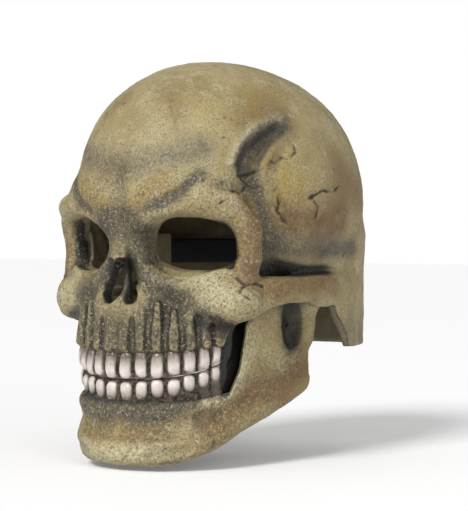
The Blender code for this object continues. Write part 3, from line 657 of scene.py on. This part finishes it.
def surface_nets(values, lines):
    inside = values < 0
    cells = [n - 1 for n in values.shape]
    total = np.zeros(cells + [3])
    count = np.zeros(cells, np.int16)
    quads = []
    for axis in range(3):
        lo, hi = [slice(None)] * 3, [slice(None)] * 3
        lo[axis], hi[axis] = slice(None, -1), slice(1, None)
        cross = np.argwhere(inside[tuple(lo)] != inside[tuple(hi)])
        beyond = cross.copy()
        beyond[:, axis] += 1
        a, b = values[tuple(cross.T)], values[tuple(beyond.T)]
        place = np.column_stack([lines[k][cross[:, k]] for k in range(3)])
        place[:, axis] += a / (a - b) * (lines[axis][beyond[:, axis]] - lines[axis][cross[:, axis]])
        u, v = (axis + 1) % 3, (axis + 2) % 3
        whole = np.ones(len(cross), bool)
        for k in (u, v):
            whole &= (cross[:, k] > 0) & (cross[:, k] < cells[k])
        cross, place, a = cross[whole], place[whole], a[whole]
        corners = []
        for du, dv in ((0, 0), (-1, 0), (-1, -1), (0, -1)):
            c = cross.copy()
            c[:, u] += du
            c[:, v] += dv
            np.add.at(total, tuple(c.T), place)
            np.add.at(count, tuple(c.T), 1)
            corners.append(c)
        quads.append((np.stack(corners, 1), a < 0))
    used = np.argwhere(count > 0)
    index = np.full(cells, -1)
    index[tuple(used.T)] = np.arange(len(used))
    points = total[tuple(used.T)] / count[tuple(used.T)][:, None]
    faces = []
    for corners, outward in quads:
        f = index[tuple(corners.reshape(-1, 3).T)].reshape(-1, 4)
        f[~outward] = f[~outward][:, ::-1]
        faces.append(f)
    return points, np.concatenate(faces)


def slope(form, p, h=0.3):
    d = form(p)
    rise = np.empty_like(p)
    for k in range(3):
        q = p.copy()
        q[:, k] += h
        rise[:, k] = (form(q) - d) / h
    return d, rise


def surface(form, lines):
    """Points on a form's surface, its outward directions there and the quads between them."""
    points, faces = surface_nets(*sampled(form, lines))
    for _ in range(2):
        d, rise = slope(form, points)
        step = np.clip(d / np.maximum((rise * rise).sum(1), 0.3), -0.8, 0.8)
        points = points - rise * step[:, None]
    _, rise = slope(form, points)
    return points, rise / np.maximum(np.linalg.norm(rise, axis=1), 1e-6)[:, None], faces


def even(low, high, step):
    return np.arange(low, high + step, step)


# Roughness that is the same on every run.

def hashed(i, j, k, seed):
    n = i.astype(np.int64) * 374761393 + j.astype(np.int64) * 668265263 + k.astype(np.int64) * 2147483647
    n = (n + seed * 144665) & 0x7fffffff
    n = ((n ^ (n >> 13)) * 1274126177) & 0x7fffffff
    n = ((n ^ (n >> 16)) * 69069) & 0x7fffffff
    return (n & 0xffff) / 65535.0


def lumps(p, size, seed):
    """Smooth noise between -1 and 1 with lumps of about the given size."""
    q = p / size
    base = np.floor(q)
    f = q - base
    f = f * f * (3 - 2 * f)
    i, j, k = base.astype(int).T
    out = np.zeros(len(p))
    for a, b, c in product((0, 1), repeat=3):
        weight = np.abs(1 - a - f[:, 0]) * np.abs(1 - b - f[:, 1]) * np.abs(1 - c - f[:, 2])
        out += weight * hashed(i + a, j + b, k + c, seed)
    return out * 2 - 1


def rough(p, size, seed, octaves=3):
    return sum(lumps(p, size / 2 ** o, seed + o) / 2 ** o for o in range(octaves)) / 1.6


# Cracks in the bone, wrinkles and painted patches, placed from the photograph.

CRACKS = (
    ((64, -86, 82), (67, -80, 80), (66, -72, 81), (68, -64, 83)),
    ((67, -80, 80), (67, -73, 75), (69, -66, 72)),
    ((67, -104, 62), (70, -98, 66), (66, -88, 71), (69, -82, 69), (68, -75, 73)),
    ((69, -60, 90), (72, -55, 92), (76, -52, 90), (78, -48, 94), (81, -45, 92)),
    ((73, -38, 112), (76, -38, 107), (79, -36, 103), (82, -36, 97), (80, -44, 92)),
    ((88, -40, 64), (91, -30, 67), (92, -24, 60), (92, -26, 52)),
    ((91, -30, 67), (93, -18, 72), (92, -6, 70), (94, 6, 76)),
    ((78, -56, 71), (80, -54, 65), (78, -53, 57), (82, -48, 49)),
    ((72, -93, 14), (79, -91, 9), (76, -96, 4), (82, -91, -1)),
    ((79, -91, 9), (81, -82, 10), (82, -74, 7)),
    ((60, 56, 136), (70, 44, 126), (74, 30, 124), (82, 14, 118)),
)
WRINKLES = (
    ((24, -98, 128), (28, -101, 122), (31, -103, 117), (36, -105, 110)),
    ((28, -101, 122), (36, -98, 120), (42, -94, 122)),
)

# dark washes with painted shade under ledges, stains with painted shade on the side away from the light, pale
# dry-brushing with painted highlights, each stroke a width, a strength and the points of its line
# grey strokes: dark wash, and painted shade in the brow valley, under the squama, under the cheekbone and
# below the lower teeth
GREY_LINES = (
    (9, 0.62, (0, -124, 86), (14, -122, 89), (24, -119, 92), (33, -115, 94), (41, -109, 96), (48, -101, 99)),
    (5, 0.75, (0, -127, 84), (1, -128, 60)),
    (6, 0.4, (2, -123, 50), (2, -127, 38), (2, -130, 28)),
    (4.5, 0.85, (26, -126, 58), (36, -121, 63), (43, -117, 69), (48, -111, 75), (52, -105, 81)),
    (8, 1.0, (72, -38, 116), (70, -53, 108), (69, -66, 101), (68, -75, 94), (67, -78, 87), (66, -74, 80)),
    (6, 0.8, (66, -73, 80), (68, -66, 70), (72, -60, 52), (74, -56, 38)),
    (8, 0.9, (72, -56, 38), (76, -46, 36), (80, -34, 34), (84, -19, 33), (86, 0, 32), (84, 30, 32)),
    (9, 1.6, (9, -126, 51), (13, -121, 44), (17, -114, 36), (19, -114, 26), (16, -119, 18)),
    (9, 1.0, (20, -121, 14), (26, -119, 8), (34, -116, 3), (41, -112, -2), (28, -119, -4)),
    (14, 0.95, (0, -127, -24), (20, -124, -24), (38, -115, -22), (50, -104, -20)),
    (4, 0.9, (0, -128, -37), (20, -125, -37), (38, -116, -36), (50, -104, -34)),
    (7, 0.95, (0, -127, -72), (20, -124, -72), (38, -115, -71), (48, -104, -68)),
    (6, 0.6, (6, -128, -79), (20, -124, -79), (34, -119, -78)),
    (8, 1.2, (70, -26, -8), (70, -26, -32)),
    (7, 0.9, (48, -106, -12), (58, -98, -16), (66, -88, -16)),
    (12, 0.5, (80, 30, -26), (60, 76, -34), (0, 96, -36)),
    (5, 0.35, (72, -10, -50), (74, -2, -20)),
)
# black strokes: black paint, and painted shade under the squama and under the cheekbone
DARK_LINES = (
    (8, 1.5, (70, -27, -9), (69, -26, -30)),
    (5, 0.5, (72, -52, 33), (76, -40, 30), (80, -24, 29), (83, -6, 29)),
    (4, 0.85, (70, -42, 116), (68, -56, 108), (67, -68, 101), (66, -77, 94), (65, -80, 87)),
    (5, 0.8, (48, -104, -16), (58, -96, -20), (64, -86, -20)),
    (2.5, 0.9, (0, -128, -39), (20, -125, -39), (38, -116, -38), (50, -104, -36)),
    (3.5, 0.9, (0, -127, -68), (20, -124, -68), (38, -115, -67), (48, -104, -65)),
    (4, 0.8, (38, -106, -74), (48, -97, -66), (54, -84, -54)),
    (7, 0.9, (7, -118, 20), (10, -116, 0)),
    (7, 0.4, (13, -121, 44), (17, -114, 36), (19, -114, 26)),
    (7, 0.3, (28, -120, 4), (40, -114, -2)),
)
# brown strokes: stain, and painted shade on the squama and the back of the head, the side away from the light
STAIN_AND_SHADE_LINES = (
    (11, 1.15, (76, -80, 62), (79, -80, 44), (81, -80, 28), (78, -86, 12)),
    (13, 0.9, (82, -54, 50), (86, -40, 50), (90, -20, 46), (92, 4, 52)),
    (22, 0.5, (90, 10, 80), (84, 44, 70)),
    (13, 0.9, (54, -96, -84), (60, -82, -70), (66, -62, -64), (70, -40, -62), (71, -20, -48)),
    (7, 0.3, (16, -127, 61), (25, -126, 68), (34, -121, 76)),
    (9, 0.75, (80, -62, 4), (83, -30, 8), (86, 4, 8)),
    (10, 0.8, (46, -108, -26), (55, -94, -24)),
    (7, 0.35, (18, -94, 135), (31, -101, 121), (36, -105, 111)),
    (12, 0.35, (62, -70, 116), (66, -40, 130)),
    (8, 0.4, (10, -128, -92), (34, -120, -92)),
)
OCHRE_LINES = (
    (13, 0.85, (75, -54, 92), (79, -48, 80), (79, -52, 66), (84, -40, 74)),
    (12, 0.8, (64, -60, -30), (69, -42, -42), (72, -20, -34)),
    (8, 0.6, (80, -78, 6), (81, -58, 4), (83, -30, 4)),
    (9, 0.5, (0, -130, -92), (24, -126, -92), (40, -116, -92)),
    (8, 0.6, (13, -127, 62), (25, -125, 69), (36, -119, 76)),
    (8, 0.4, (50, -104, -8), (66, -98, 0)),
    (16, 0.4, (30, -96, 120), (58, -70, 124), (62, -30, 140)),
    (7, 0.5, (72, -88, 66), (76, -84, 54)),
    (6, 0.5, (0, -124, 46), (0, -131, 28)),
)
# pale strokes: dry-brushing on edges, and painted highlights on the cheekbone and the forehead
PALE_LINES = (
    (8, 0.65, (46, -98, 16), (61, -101, 9), (71, -100, -2), (58, -105, -2)),
    (7, 0.9, (0, -133, -103), (21, -129, -104), (34, -126, -102)),
    (5, 1.2, (65, -67, -24), (64, -67, -38), (63, -72, -50), (62, -76, -59), (57, -88, -66), (51, -99, -69)),
    (10, 0.45, (64, -62, -30), (68, -46, -38), (70, -34, -44)),
    (3.5, 0.8, (71, -39, 121), (69, -55, 115), (67, -67, 111), (66, -75, 105), (64, -81, 98), (63, -86, 90)),
    (6, 0.4, (76, -94, 2), (80, -88, 0)),
    (5, 0.5, (66, -100, 70), (70, -92, 60)),
    (16, 0.25, (20, -116, 100), (40, -100, 112)),
)
STROKES = {"grey": GREY_LINES, "dark": DARK_LINES, "stain_and_shade": STAIN_AND_SHADE_LINES, "ochre": OCHRE_LINES,
           "pale": PALE_LINES}


def nearness(p, lines, width, jitter, seed):
    """1 on a set of jagged lines, falling to 0 at their width."""
    if not lines:
        return np.zeros(len(p))
    q = folded(p) + jitter * np.column_stack([rough(p, 5, seed + more) for more in (0, 20, 40)])
    return np.clip(1 - nearest(q, [thread(line) for line in lines]) / width, 0, 1)


def smudged(p, lines):
    """Sum of soft strokes of paint."""
    q = folded(p) + 2.0 * np.column_stack([rough(p, 9, seed) for seed in (5, 15, 25)])
    out = np.zeros(len(p))
    for width, strength, *line in lines:
        out += strength * np.exp(-(rod(q, thread(line)) / width) ** 2)
    return out


def shown(name, data):
    item = bpy.data.objects.new(name, data)
    bpy.context.scene.collection.objects.link(item)
    return item


def add_piece(name, points, faces):
    mesh = bpy.data.meshes.new(name)
    mesh.from_pydata((np.asarray(points) * MM).tolist(), [], np.asarray(faces).tolist())
    mesh.polygons.foreach_set("use_smooth", [True] * len(mesh.polygons))
    mesh.update()
    return shown(name, mesh)


def keep_value(item, name, values):
    layer = item.data.attributes.new(name, "FLOAT", "POINT")
    layer.data.foreach_set("value", np.asarray(values, np.float32))


def probed(form, points, outward, way, reaches):
    """Looks out of a form (way 1) or into it (way -1) from its surface: 0 where that side is open, towards 1
    in a narrow hollow or on a sharp ridge."""
    return sum(weight * np.clip(1 - way * form(points + way * outward * reach) / reach, 0, 1)
               for reach, weight in reaches)


def forward(p):
    """Where the paint is flecked most: 1 low on the face, falling towards the back and the crown."""
    return np.clip((-10 - p[:, 1]) / 70, 0, 1) * np.clip((104 - p[:, 2]) / 26, 0.1, 1)


def casting(name, form, open_form, lines, cracks=(), wrinkles=()):
    points, outward, faces = surface(form, lines)
    outside = np.abs(open_form(points)) < 1.0
    # painted shade: how closed in each point is, which darkens the narrow hollows
    hollow = probed(open_form, points, outward, 1, ((3, 0.2), (7, 0.3), (14, 0.3), (24, 0.2)))
    ridge = probed(open_form, points, outward, -1, ((3, 0.5), (6, 0.5)))
    cracked = nearness(points, cracks, 1.9, 1.3, 3)
    creased = nearness(points, wrinkles, 2.0, 1.6, 5)
    relief = 0.55 * rough(points, 14, 11) + 0.32 * rough(points, 4.5, 31)
    pits = np.clip(lumps(points, 3.2, 51) - 0.45, 0, 1) * np.clip(0.4 + rough(points, 26, 61), 0, 1)
    relief = relief - 1.5 * pits - 1.3 * cracked ** 0.7 - 1.2 * creased
    points = points + outward * (relief * np.where(outside, 1, 0.25))[:, None]
    item = add_piece(name, points, faces)
    for layer, strokes in STROKES.items():
        keep_value(item, layer, np.clip(1.35 * smudged(points, strokes), 0, 1))
    for layer, values in (("hollow", hollow), ("ridge", ridge), ("pit", pits), ("outside", outside),
                          ("crack", np.maximum(cracked, 0.25 * creased)), ("coarse", forward(points))):
        keep_value(item, layer, values)
    return item


# Materials.

class Look:
    """A material and short ways of adding nodes to it."""

    def __init__(self, name, roughness, metallic=0.0):
        self.material = bpy.data.materials.new(name)
        self.material.use_nodes = True
        self.nodes = self.material.node_tree.nodes
        self.links = self.material.node_tree.links
        self.shader = self.nodes["Principled BSDF"]
        self.shader.inputs["Roughness"].default_value = roughness
        self.shader.inputs["Metallic"].default_value = metallic
        self.place = self.nodes.new("ShaderNodeTexCoord").outputs["Object"]

    def feed(self, socket, value):
        if isinstance(value, (int, float)):
            socket.default_value = value
        elif isinstance(value, tuple):
            socket.default_value = (*value, 1)
        else:
            self.links.new(value, socket)

    def add(self, kind, values):
        node = self.nodes.new(kind)
        for socket, value in values.items():
            self.feed(node.inputs[socket], value)
        return node

    def noise(self, scale, detail=4.0, roughness=0.6):
        return self.add("ShaderNodeTexNoise", {"Scale": scale, "Detail": detail, "Roughness": roughness,
                                               "Vector": self.place}).outputs["Fac"]

    def value(self, name):
        node = self.nodes.new("ShaderNodeAttribute")
        node.attribute_name = name
        return node.outputs["Fac"]

    def math(self, kind, a, b):
        node = self.add("ShaderNodeMath", {0: a, 1: b})
        node.operation = kind
        node.use_clamp = True
        return node.outputs["Value"]

    def between(self, source, low, high, to_low=0.0, to_high=1.0):
        node = self.add("ShaderNodeMapRange", {"Value": source, "From Min": low, "From Max": high,
                                               "To Min": to_low, "To Max": to_high})
        node.interpolation_type = "SMOOTHSTEP"
        return node.outputs["Result"]

    def patchy(self, layer, noise, *span):
        """A painted layer, broken up by a noise."""
        return self.math("MULTIPLY", self.value(layer), self.between(noise, *span))

    def mix(self, amount, a, b):
        node = self.nodes.new("ShaderNodeMix")
        node.data_type = "RGBA"
        self.feed(node.inputs["Factor"], amount)
        self.feed(node.inputs["A"], a)
        self.feed(node.inputs["B"], b)
        return node.outputs["Result"]

    def colour(self, value):
        self.feed(self.shader.inputs["Base Color"], value)

    def bump(self, height, strength, distance):
        node = self.add("ShaderNodeBump", {"Strength": strength, "Distance": distance, "Height": height})
        self.links.new(node.outputs["Normal"], self.shader.inputs["Normal"])


BONE = (0.42, 0.345, 0.165)
BONE_PALE = (0.56, 0.50, 0.31)
BONE_DEEP = (0.31, 0.235, 0.10)
# grey wash, also used as painted shade under ledges
GREY_WASH_AND_SHADE = (0.040, 0.035, 0.031)
# black wash, also used as painted shade in narrow hollows and under ledges
BLACK_WASH_AND_SHADE = (0.010, 0.009, 0.008)
BROWN = (0.185, 0.104, 0.036)
OCHRE = (0.39, 0.275, 0.075)
FLECK = (0.085, 0.068, 0.042)
# painted shade: the inside of the castings, darker than bare latex, as if in the shade of the head space
LATEX_BACK_IN_SHADE = (0.20, 0.165, 0.10)
ENAMEL_DEEP = (0.62, 0.53, 0.46)
ENAMEL = (0.76, 0.70, 0.66)
NECK_STAIN = (0.12, 0.088, 0.060)
GAP_DARK = (0.018, 0.014, 0.010)
GAP_DUST = (0.11, 0.088, 0.058)


def bone_look():
    look = Look("painted latex", 0.55)
    span, times = look.between, "MULTIPLY"
    broad, cloud, fine = look.noise(22, 5, 0.6), look.noise(85, 6, 0.7), look.noise(330, 5, 0.75)
    speck, fleck = look.noise(1000, 2, 0.6), look.noise(560, 3, 0.7)
    base = look.mix(span(broad, 0.38, 0.64), BONE_DEEP, BONE)
    for amount, colour in (
            (span(cloud, 0.46, 0.68, 0, 0.55), BONE_PALE),
            (span(fine, 0.52, 0.68, 0, 0.75), BONE_DEEP),
            (look.patchy("ochre", cloud, 0.30, 0.66, 1, 0.45), OCHRE),
            # brown stain, with painted shade on the squama and the back of the head
            (look.patchy("stain_and_shade", cloud, 0.30, 0.60, 0.6, 1), BROWN),
            # grey wash with painted shade under the brow, squama, cheekbone and lower teeth
            (look.patchy("grey", fine, 0.34, 0.62, 1, 0.72), GREY_WASH_AND_SHADE),
            (look.math(times, span(look.value("ridge"), 0.14, 0.46), span(fine, 0.40, 0.58, 0, 0.7)), BONE),
            # pale dry-brushing, with painted highlights on the cheekbone and the forehead
            (look.patchy("pale", fine, 0.36, 0.58, 0.15, 1), BONE_PALE),
            # painted shade: black laid into the narrow hollows
            (span(look.value("hollow"), 0.10, 0.50), BLACK_WASH_AND_SHADE),
            (look.patchy("grey", speck, 0.52, 0.64, 0, 0.34), BONE),
            (look.math(times, span(speck, 0.50, 0.36, 0, 0.65), span(cloud, 0.35, 0.65, 0.3, 1)), GREY_WASH_AND_SHADE),
            (look.patchy("coarse", fleck, 0.48, 0.36, 0, 0.75), FLECK),
            (look.patchy("coarse", fleck, 0.55, 0.67, 0, 0.55), BONE_PALE),
            # black paint with painted shade under the squama and under the cheekbone
            (look.patchy("dark", fine, 0.3, 0.6, 1, 0.8), BLACK_WASH_AND_SHADE),
            (span(look.value("pit"), 0.05, 0.4, 0, 0.85), GREY_WASH_AND_SHADE),
            (span(look.value("crack"), 0.2, 0.8, 0, 0.9), BLACK_WASH_AND_SHADE)):
        base = look.mix(amount, base, colour)
    # painted shade: the inside of the casting in a darkened latex colour
    inside = look.mix(span(cloud, 0.35, 0.7, 0, 0.4), LATEX_BACK_IN_SHADE, BONE)
    look.colour(look.mix(look.value("outside"), inside, base))
    look.feed(look.shader.inputs["Roughness"], span(fine, 0.3, 0.7, 0.42, 0.66))
    look.bump(look.math("ADD", look.math(times, fine, 0.6), look.math(times, speck, 0.4)), 0.75, 0.0016)
    return look.material


def tooth_look():
    look = Look("painted teeth", 0.30)
    cloud, fine = look.noise(140, 4, 0.6), look.noise(420, 4, 0.7)
    base = look.mix(look.between(cloud, 0.35, 0.7), ENAMEL_DEEP, ENAMEL)
    base = look.mix(look.patchy("neck", fine, 0.25, 0.6, 0.55, 1), base, NECK_STAIN)
    gap = look.mix(look.between(fine, 0.42, 0.62), GAP_DARK, GAP_DUST)
    look.colour(look.mix(look.value("side"), base, gap))
    look.feed(look.shader.inputs["Roughness"], look.between(look.value("side"), 0, 1, 0.28, 0.9))
    look.bump(cloud, 0.25, 0.0006)
    return look.material


def plain_look(name, dark, pale, roughness, scale, metallic=0.0, strength=0.3, distance=0.0006):
    look = Look(name, roughness, metallic)
    cloud = look.noise(scale, 4, 0.6)
    look.colour(look.mix(look.between(cloud, 0.3, 0.7), dark, pale))
    look.bump(cloud, strength, distance)
    return look.material


def wear(item, material):
    item.data.materials.clear()
    item.data.materials.append(material)
    return item


# Castings and tooth rows.

bone = bone_look()
face_lines = (stepped(-102, 102, -84, 84, CELL, BACK_CELL), stepped(-144, 128, -143, -62, CELL, BACK_CELL),
              stepped(-52, 168, -51, 104, CELL, BACK_CELL))
skull = wear(casting("skull_casting", skull_casting, open_skull, face_lines, CRACKS, WRINKLES), bone)
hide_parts("skull_shell")
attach(skull, "skull")

jaw_lines = (even(-88, 88, CELL), even(-144, 18, CELL), even(-122, 14, CELL))
jaw = wear(casting("jaw_casting", jaw_casting, open_jaw, jaw_lines), bone)
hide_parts("jaw_shell")
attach(jaw, "jaw")

enamel = tooth_look()


def gap_paint(points):
    """1 between the crowns and behind them, 0 on their faces."""
    q = folded(points)
    across = np.full(len(q), 1e9)
    depth = np.full(len(q), 1e9)
    for at, way, width, _ in SITES:
        u = np.abs((q[:, :2] - at) @ way) / (width / 2)
        back = -((q[:, :2] - at) @ np.array([way[1], -way[0]]))
        nearer = u < across
        across = np.where(nearer, u, across)
        depth = np.where(nearer, back, depth)
    return np.clip(np.maximum((across - 0.60) / 0.16, (depth - 2.0) / 1.6), 0, 1)


def tooth_row(name, form, low, high, node, body, tall):
    points, outward, faces = surface(form, (even(-66, 66, TOOTH_CELL), even(-140, -66, TOOTH_CELL),
                                            even(low, high, TOOTH_CELL)))
    height = np.abs(over_bite(points))
    item = add_piece(name, points + outward * (0.18 * rough(points, 5, 71))[:, None], faces)
    keep_value(item, "neck", np.clip((height / tall - 0.38) / 0.5, 0, 1) ** 1.2)
    keep_value(item, "side", gap_paint(points))
    wear(item, enamel)
    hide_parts(node)
    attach(item, body)


tooth_row("upper_tooth_row", upper_teeth, -62, -24, "upper_teeth", "skull", 17)
tooth_row("lower_tooth_row", lower_teeth, -82, -36, "lower_teeth", "jaw", 14)


# Foam pads, with rounded rims.

foam = plain_look("black foam", (0.02, 0.02, 0.021), (0.055, 0.055, 0.058), 0.95, 900, 0, 0.8, 0.001)


def pad_form(patch, inside, depth):
    middle, half = (patch[0] + patch[1]) / 2, (patch[1] - patch[0]) / 2
    level, tall = (patch[2] + patch[3]) / 2, (patch[3] - patch[2]) / 2

    def form(p):
        angle = np.degrees(np.arctan2(p[:, 0], -p[:, 1]))
        reach = np.hypot(p[:, 0], p[:, 1])
        u = np.radians(angle - middle) * reach
        wide = math.radians(half) * reach - 1
        v = p[:, 2] - level
        seat = inside(p) + PAD_SEAT
        full = np.clip(1 - (u / wide) ** 2, 0, 1) * np.clip(1 - (v / tall) ** 2, 0, 1)
        swell = depth * (0.55 + 0.45 * full)
        w = np.abs(seat + swell / 2) - swell / 2
        a, b, c = np.abs(u) - wide + PAD_CORNER, np.abs(v) - tall + PAD_CORNER, w + PAD_CORNER * 0.7
        outside = np.sqrt(sum(np.maximum(beyond, 0) ** 2 for beyond in (a, b, c)))
        return outside + np.minimum(np.maximum.reduce([a, b, c]), 0) - PAD_CORNER * 0.9

    return form


def crown_form(p):
    roof = skull_inside(p) + PAD_SEAT
    rim = np.hypot(p[:, 0], p[:, 1]) - CROWN_PAD_RADIUS
    base = CROWN_SEAT_Z - p[:, 2]
    return smooth_cut(np.maximum(roof, base), -rim, 5)


def pad_piece(name, form, low, high, node, body):
    points, outward, faces = surface(form, [even(a, b, SOFT_CELL) for a, b in zip(low, high)])
    item = add_piece(name, points + outward * (0.2 * rough(points, 6, 81))[:, None], faces)
    wear(item, foam)
    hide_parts(node)
    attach(item, body)


pad_piece("forehead_cushion", pad_form(FOREHEAD_PAD, skull_inside, FOREHEAD_PAD_DEPTH),
          (-70, -130, 68), (70, -70, 110), "forehead_pad", "skull")
pad_piece("temple_cushion_left", pad_form(TEMPLE_PAD, skull_inside, TEMPLE_PAD_DEPTH),
          (60, -40, 40), (98, 16, 86), "temple_pad_left", "skull")
pad_piece("temple_cushion_right", pad_form(TEMPLE_PAD_RIGHT, skull_inside, TEMPLE_PAD_DEPTH),
          (-98, -40, 40), (-60, 16, 86), "temple_pad_right", "skull")
pad_piece("chin_cushion", pad_form(CHIN_CUP, jaw_inside, CHIN_CUP_DEPTH),
          (-52, -130, -112), (52, -90, -80), "chin_cup", "jaw")
pad_piece("crown_cushion", crown_form, (-40, -40, 124), (40, 40, 166), "crown_pad", "skull")


# Head band, its patches and the cheek elastic start from the CAD solids, made finer.

def softened(node, name, levels, size, height, smooth=0):
    """A finer copy of a CAD solid, its edges eased and its surface slightly uneven."""
    source = bpy.data.objects[node]
    item = shown(name, source.data.copy())
    item.matrix_world = source.matrix_world
    joined = bmesh.new()
    joined.from_mesh(item.data)
    bmesh.ops.remove_doubles(joined, verts=joined.verts, dist=1e-6)
    joined.to_mesh(item.data)
    joined.free()
    split = item.modifiers.new("fine", "SUBSURF")
    split.subdivision_type = "SIMPLE"
    split.levels = split.render_levels = levels
    if smooth:
        ease = item.modifiers.new("ease", "SMOOTH")
        ease.factor, ease.iterations = 0.5, smooth
    bpy.context.view_layer.update()
    mesh = bpy.data.meshes.new_from_object(item.evaluated_get(bpy.context.evaluated_depsgraph_get()))
    item.modifiers.clear()
    item.data = mesh
    mesh.transform(item.matrix_world)
    item.matrix_world.identity()
    mesh.update()
    places = np.array([v.co for v in mesh.vertices]) / MM
    outward = np.array([v.normal for v in mesh.vertices])
    places += outward * (height * rough(places, size, 91))[:, None]
    mesh.vertices.foreach_set("co", (places * MM).ravel())
    mesh.polygons.foreach_set("use_smooth", [True] * len(mesh.polygons))
    mesh.update()
    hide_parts(node)
    return item


def webbing_look():
    look = Look("woven elastic", 0.85)
    weave = look.nodes.new("ShaderNodeTexWave")
    weave.bands_direction = "Z"
    weave.inputs["Scale"].default_value = 260
    weave.inputs["Distortion"].default_value = 0.6
    look.links.new(look.place, weave.inputs["Vector"])
    thread = weave.outputs["Fac"]
    look.colour(look.mix(thread, (0.012, 0.012, 0.013), (0.045, 0.045, 0.048)))
    look.bump(thread, 0.7, 0.0006)
    return look.material


rubber = plain_look("black latex", (0.006, 0.006, 0.007), (0.014, 0.014, 0.016), 0.22, 160, 0, 0.35, 0.002)
for side in ("left", "right"):
    web = softened(f"cheek_elastic_{side}", f"cheek_membrane_{side}", 2, 9, 0.5, 6)
    wear(web, rubber)
    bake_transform(web)

band = wear(softened("head_band", "woven_head_band", 2, 20, 0.15), webbing_look())
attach(band, "skull")
latex = plain_look("plain latex", (0.36, 0.30, 0.18), (0.47, 0.40, 0.25), 0.6, 120, 0, 0.3, 0.001)
for side in ("left", "right"):
    patch = wear(softened(f"band_patch_{side}", f"latex_patch_{side}", 2, 10, 0.25, 2), latex)
    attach(patch, "skull")

steel = plain_look("nickel", (0.48, 0.48, 0.49), (0.62, 0.62, 0.63), 0.32, 400, 1.0, 0.1, 0.0002)
nylon = plain_look("nylon", (0.55, 0.53, 0.48), (0.64, 0.62, 0.56), 0.45, 300, 0, 0.1, 0.0002)
for side in ("left", "right"):
    for node, material in (("pivot_stud", steel), ("pivot_cap", steel), ("pivot_washer", nylon)):
        wear(bpy.data.objects[f"{node}_{side}"], material)

# Lights, floor and camera.

world = bpy.data.worlds.new("studio")
bpy.context.scene.world = world
world.use_nodes = True
tree = world.node_tree
soft, white = tree.nodes["Background"], tree.nodes.new("ShaderNodeBackground")
for sky, strength in ((soft, SKY_LIGHT), (white, 1.0)):
    sky.inputs["Color"].default_value = (1, 1, 1, 1)
    sky.inputs["Strength"].default_value = strength
choose = tree.nodes.new("ShaderNodeMixShader")
tree.links.new(tree.nodes.new("ShaderNodeLightPath").outputs["Is Camera Ray"], choose.inputs["Fac"])
tree.links.new(soft.outputs["Background"], choose.inputs[1])
tree.links.new(white.outputs["Background"], choose.inputs[2])
tree.links.new(choose.outputs["Shader"], tree.nodes["World Output"].inputs["Surface"])


def lamp(name, kind, place, power, spread):
    data = bpy.data.lights.new(name, kind)
    data.energy = power
    if kind == "SUN":
        data.angle = math.radians(spread)
    else:
        data.shape = "DISK"
        data.size = spread
    item = shown(name, data)
    item.location = place
    item.rotation_euler = (-Vector(place)).to_track_quat("-Z", "Y").to_euler()


lamp("key", "SUN", (0.05, -1.6, 1.35), 2.3, 20)
lamp("side", "AREA", (1.5, -0.9, 0.7), 5, 0.9)

floor_mesh = bpy.data.meshes.new("floor")
FLOOR_Z = CAD_BOX[0][2] - 0.003
floor_mesh.from_pydata([(x, y, FLOOR_Z) for x, y in ((-6, -6), (6, -6), (6, 6), (-6, 6))], [], [(0, 1, 2, 3)])
floor = shown("floor", floor_mesh)
paper = Look("floor", 0.9)
paper.colour(paper.mix(paper.noise(3), (0.93, 0.93, 0.93), (0.95, 0.95, 0.95)))
paper.shader.inputs["Emission Color"].default_value = (1, 1, 1, 1)
to_camera = paper.nodes.new("ShaderNodeLightPath").outputs["Is Camera Ray"]
paper.feed(paper.shader.inputs["Emission Strength"], paper.math("MULTIPLY", to_camera, FLOOR_GLOW))
wear(floor, paper.material)

turn, rise = math.radians(VIEW_AZIMUTH), math.radians(VIEW_ELEVATION)
back = Vector((math.sin(turn) * math.cos(rise), -math.cos(turn) * math.cos(rise), math.sin(rise)))
camera_data = bpy.data.cameras.new("camera")
camera_data.sensor_fit = "HORIZONTAL"
camera_data.sensor_width = SENSOR
camera_data.lens = SENSOR * VIEW_SCALE * 1000 * VIEW_DISTANCE / PHOTO_SIZE[0]
camera_data.shift_x = -(ORIGIN_PIXEL[0] - PHOTO_SIZE[0] / 2) / PHOTO_SIZE[0]
camera_data.shift_y = (ORIGIN_PIXEL[1] - PHOTO_SIZE[1] / 2) / PHOTO_SIZE[0]
camera = shown("camera", camera_data)
camera.location = back * VIEW_DISTANCE
camera.rotation_euler = back.to_track_quat("Z", "Y").to_euler()
bpy.context.scene.camera = camera
bpy.context.scene.view_settings.view_transform = "Standard"
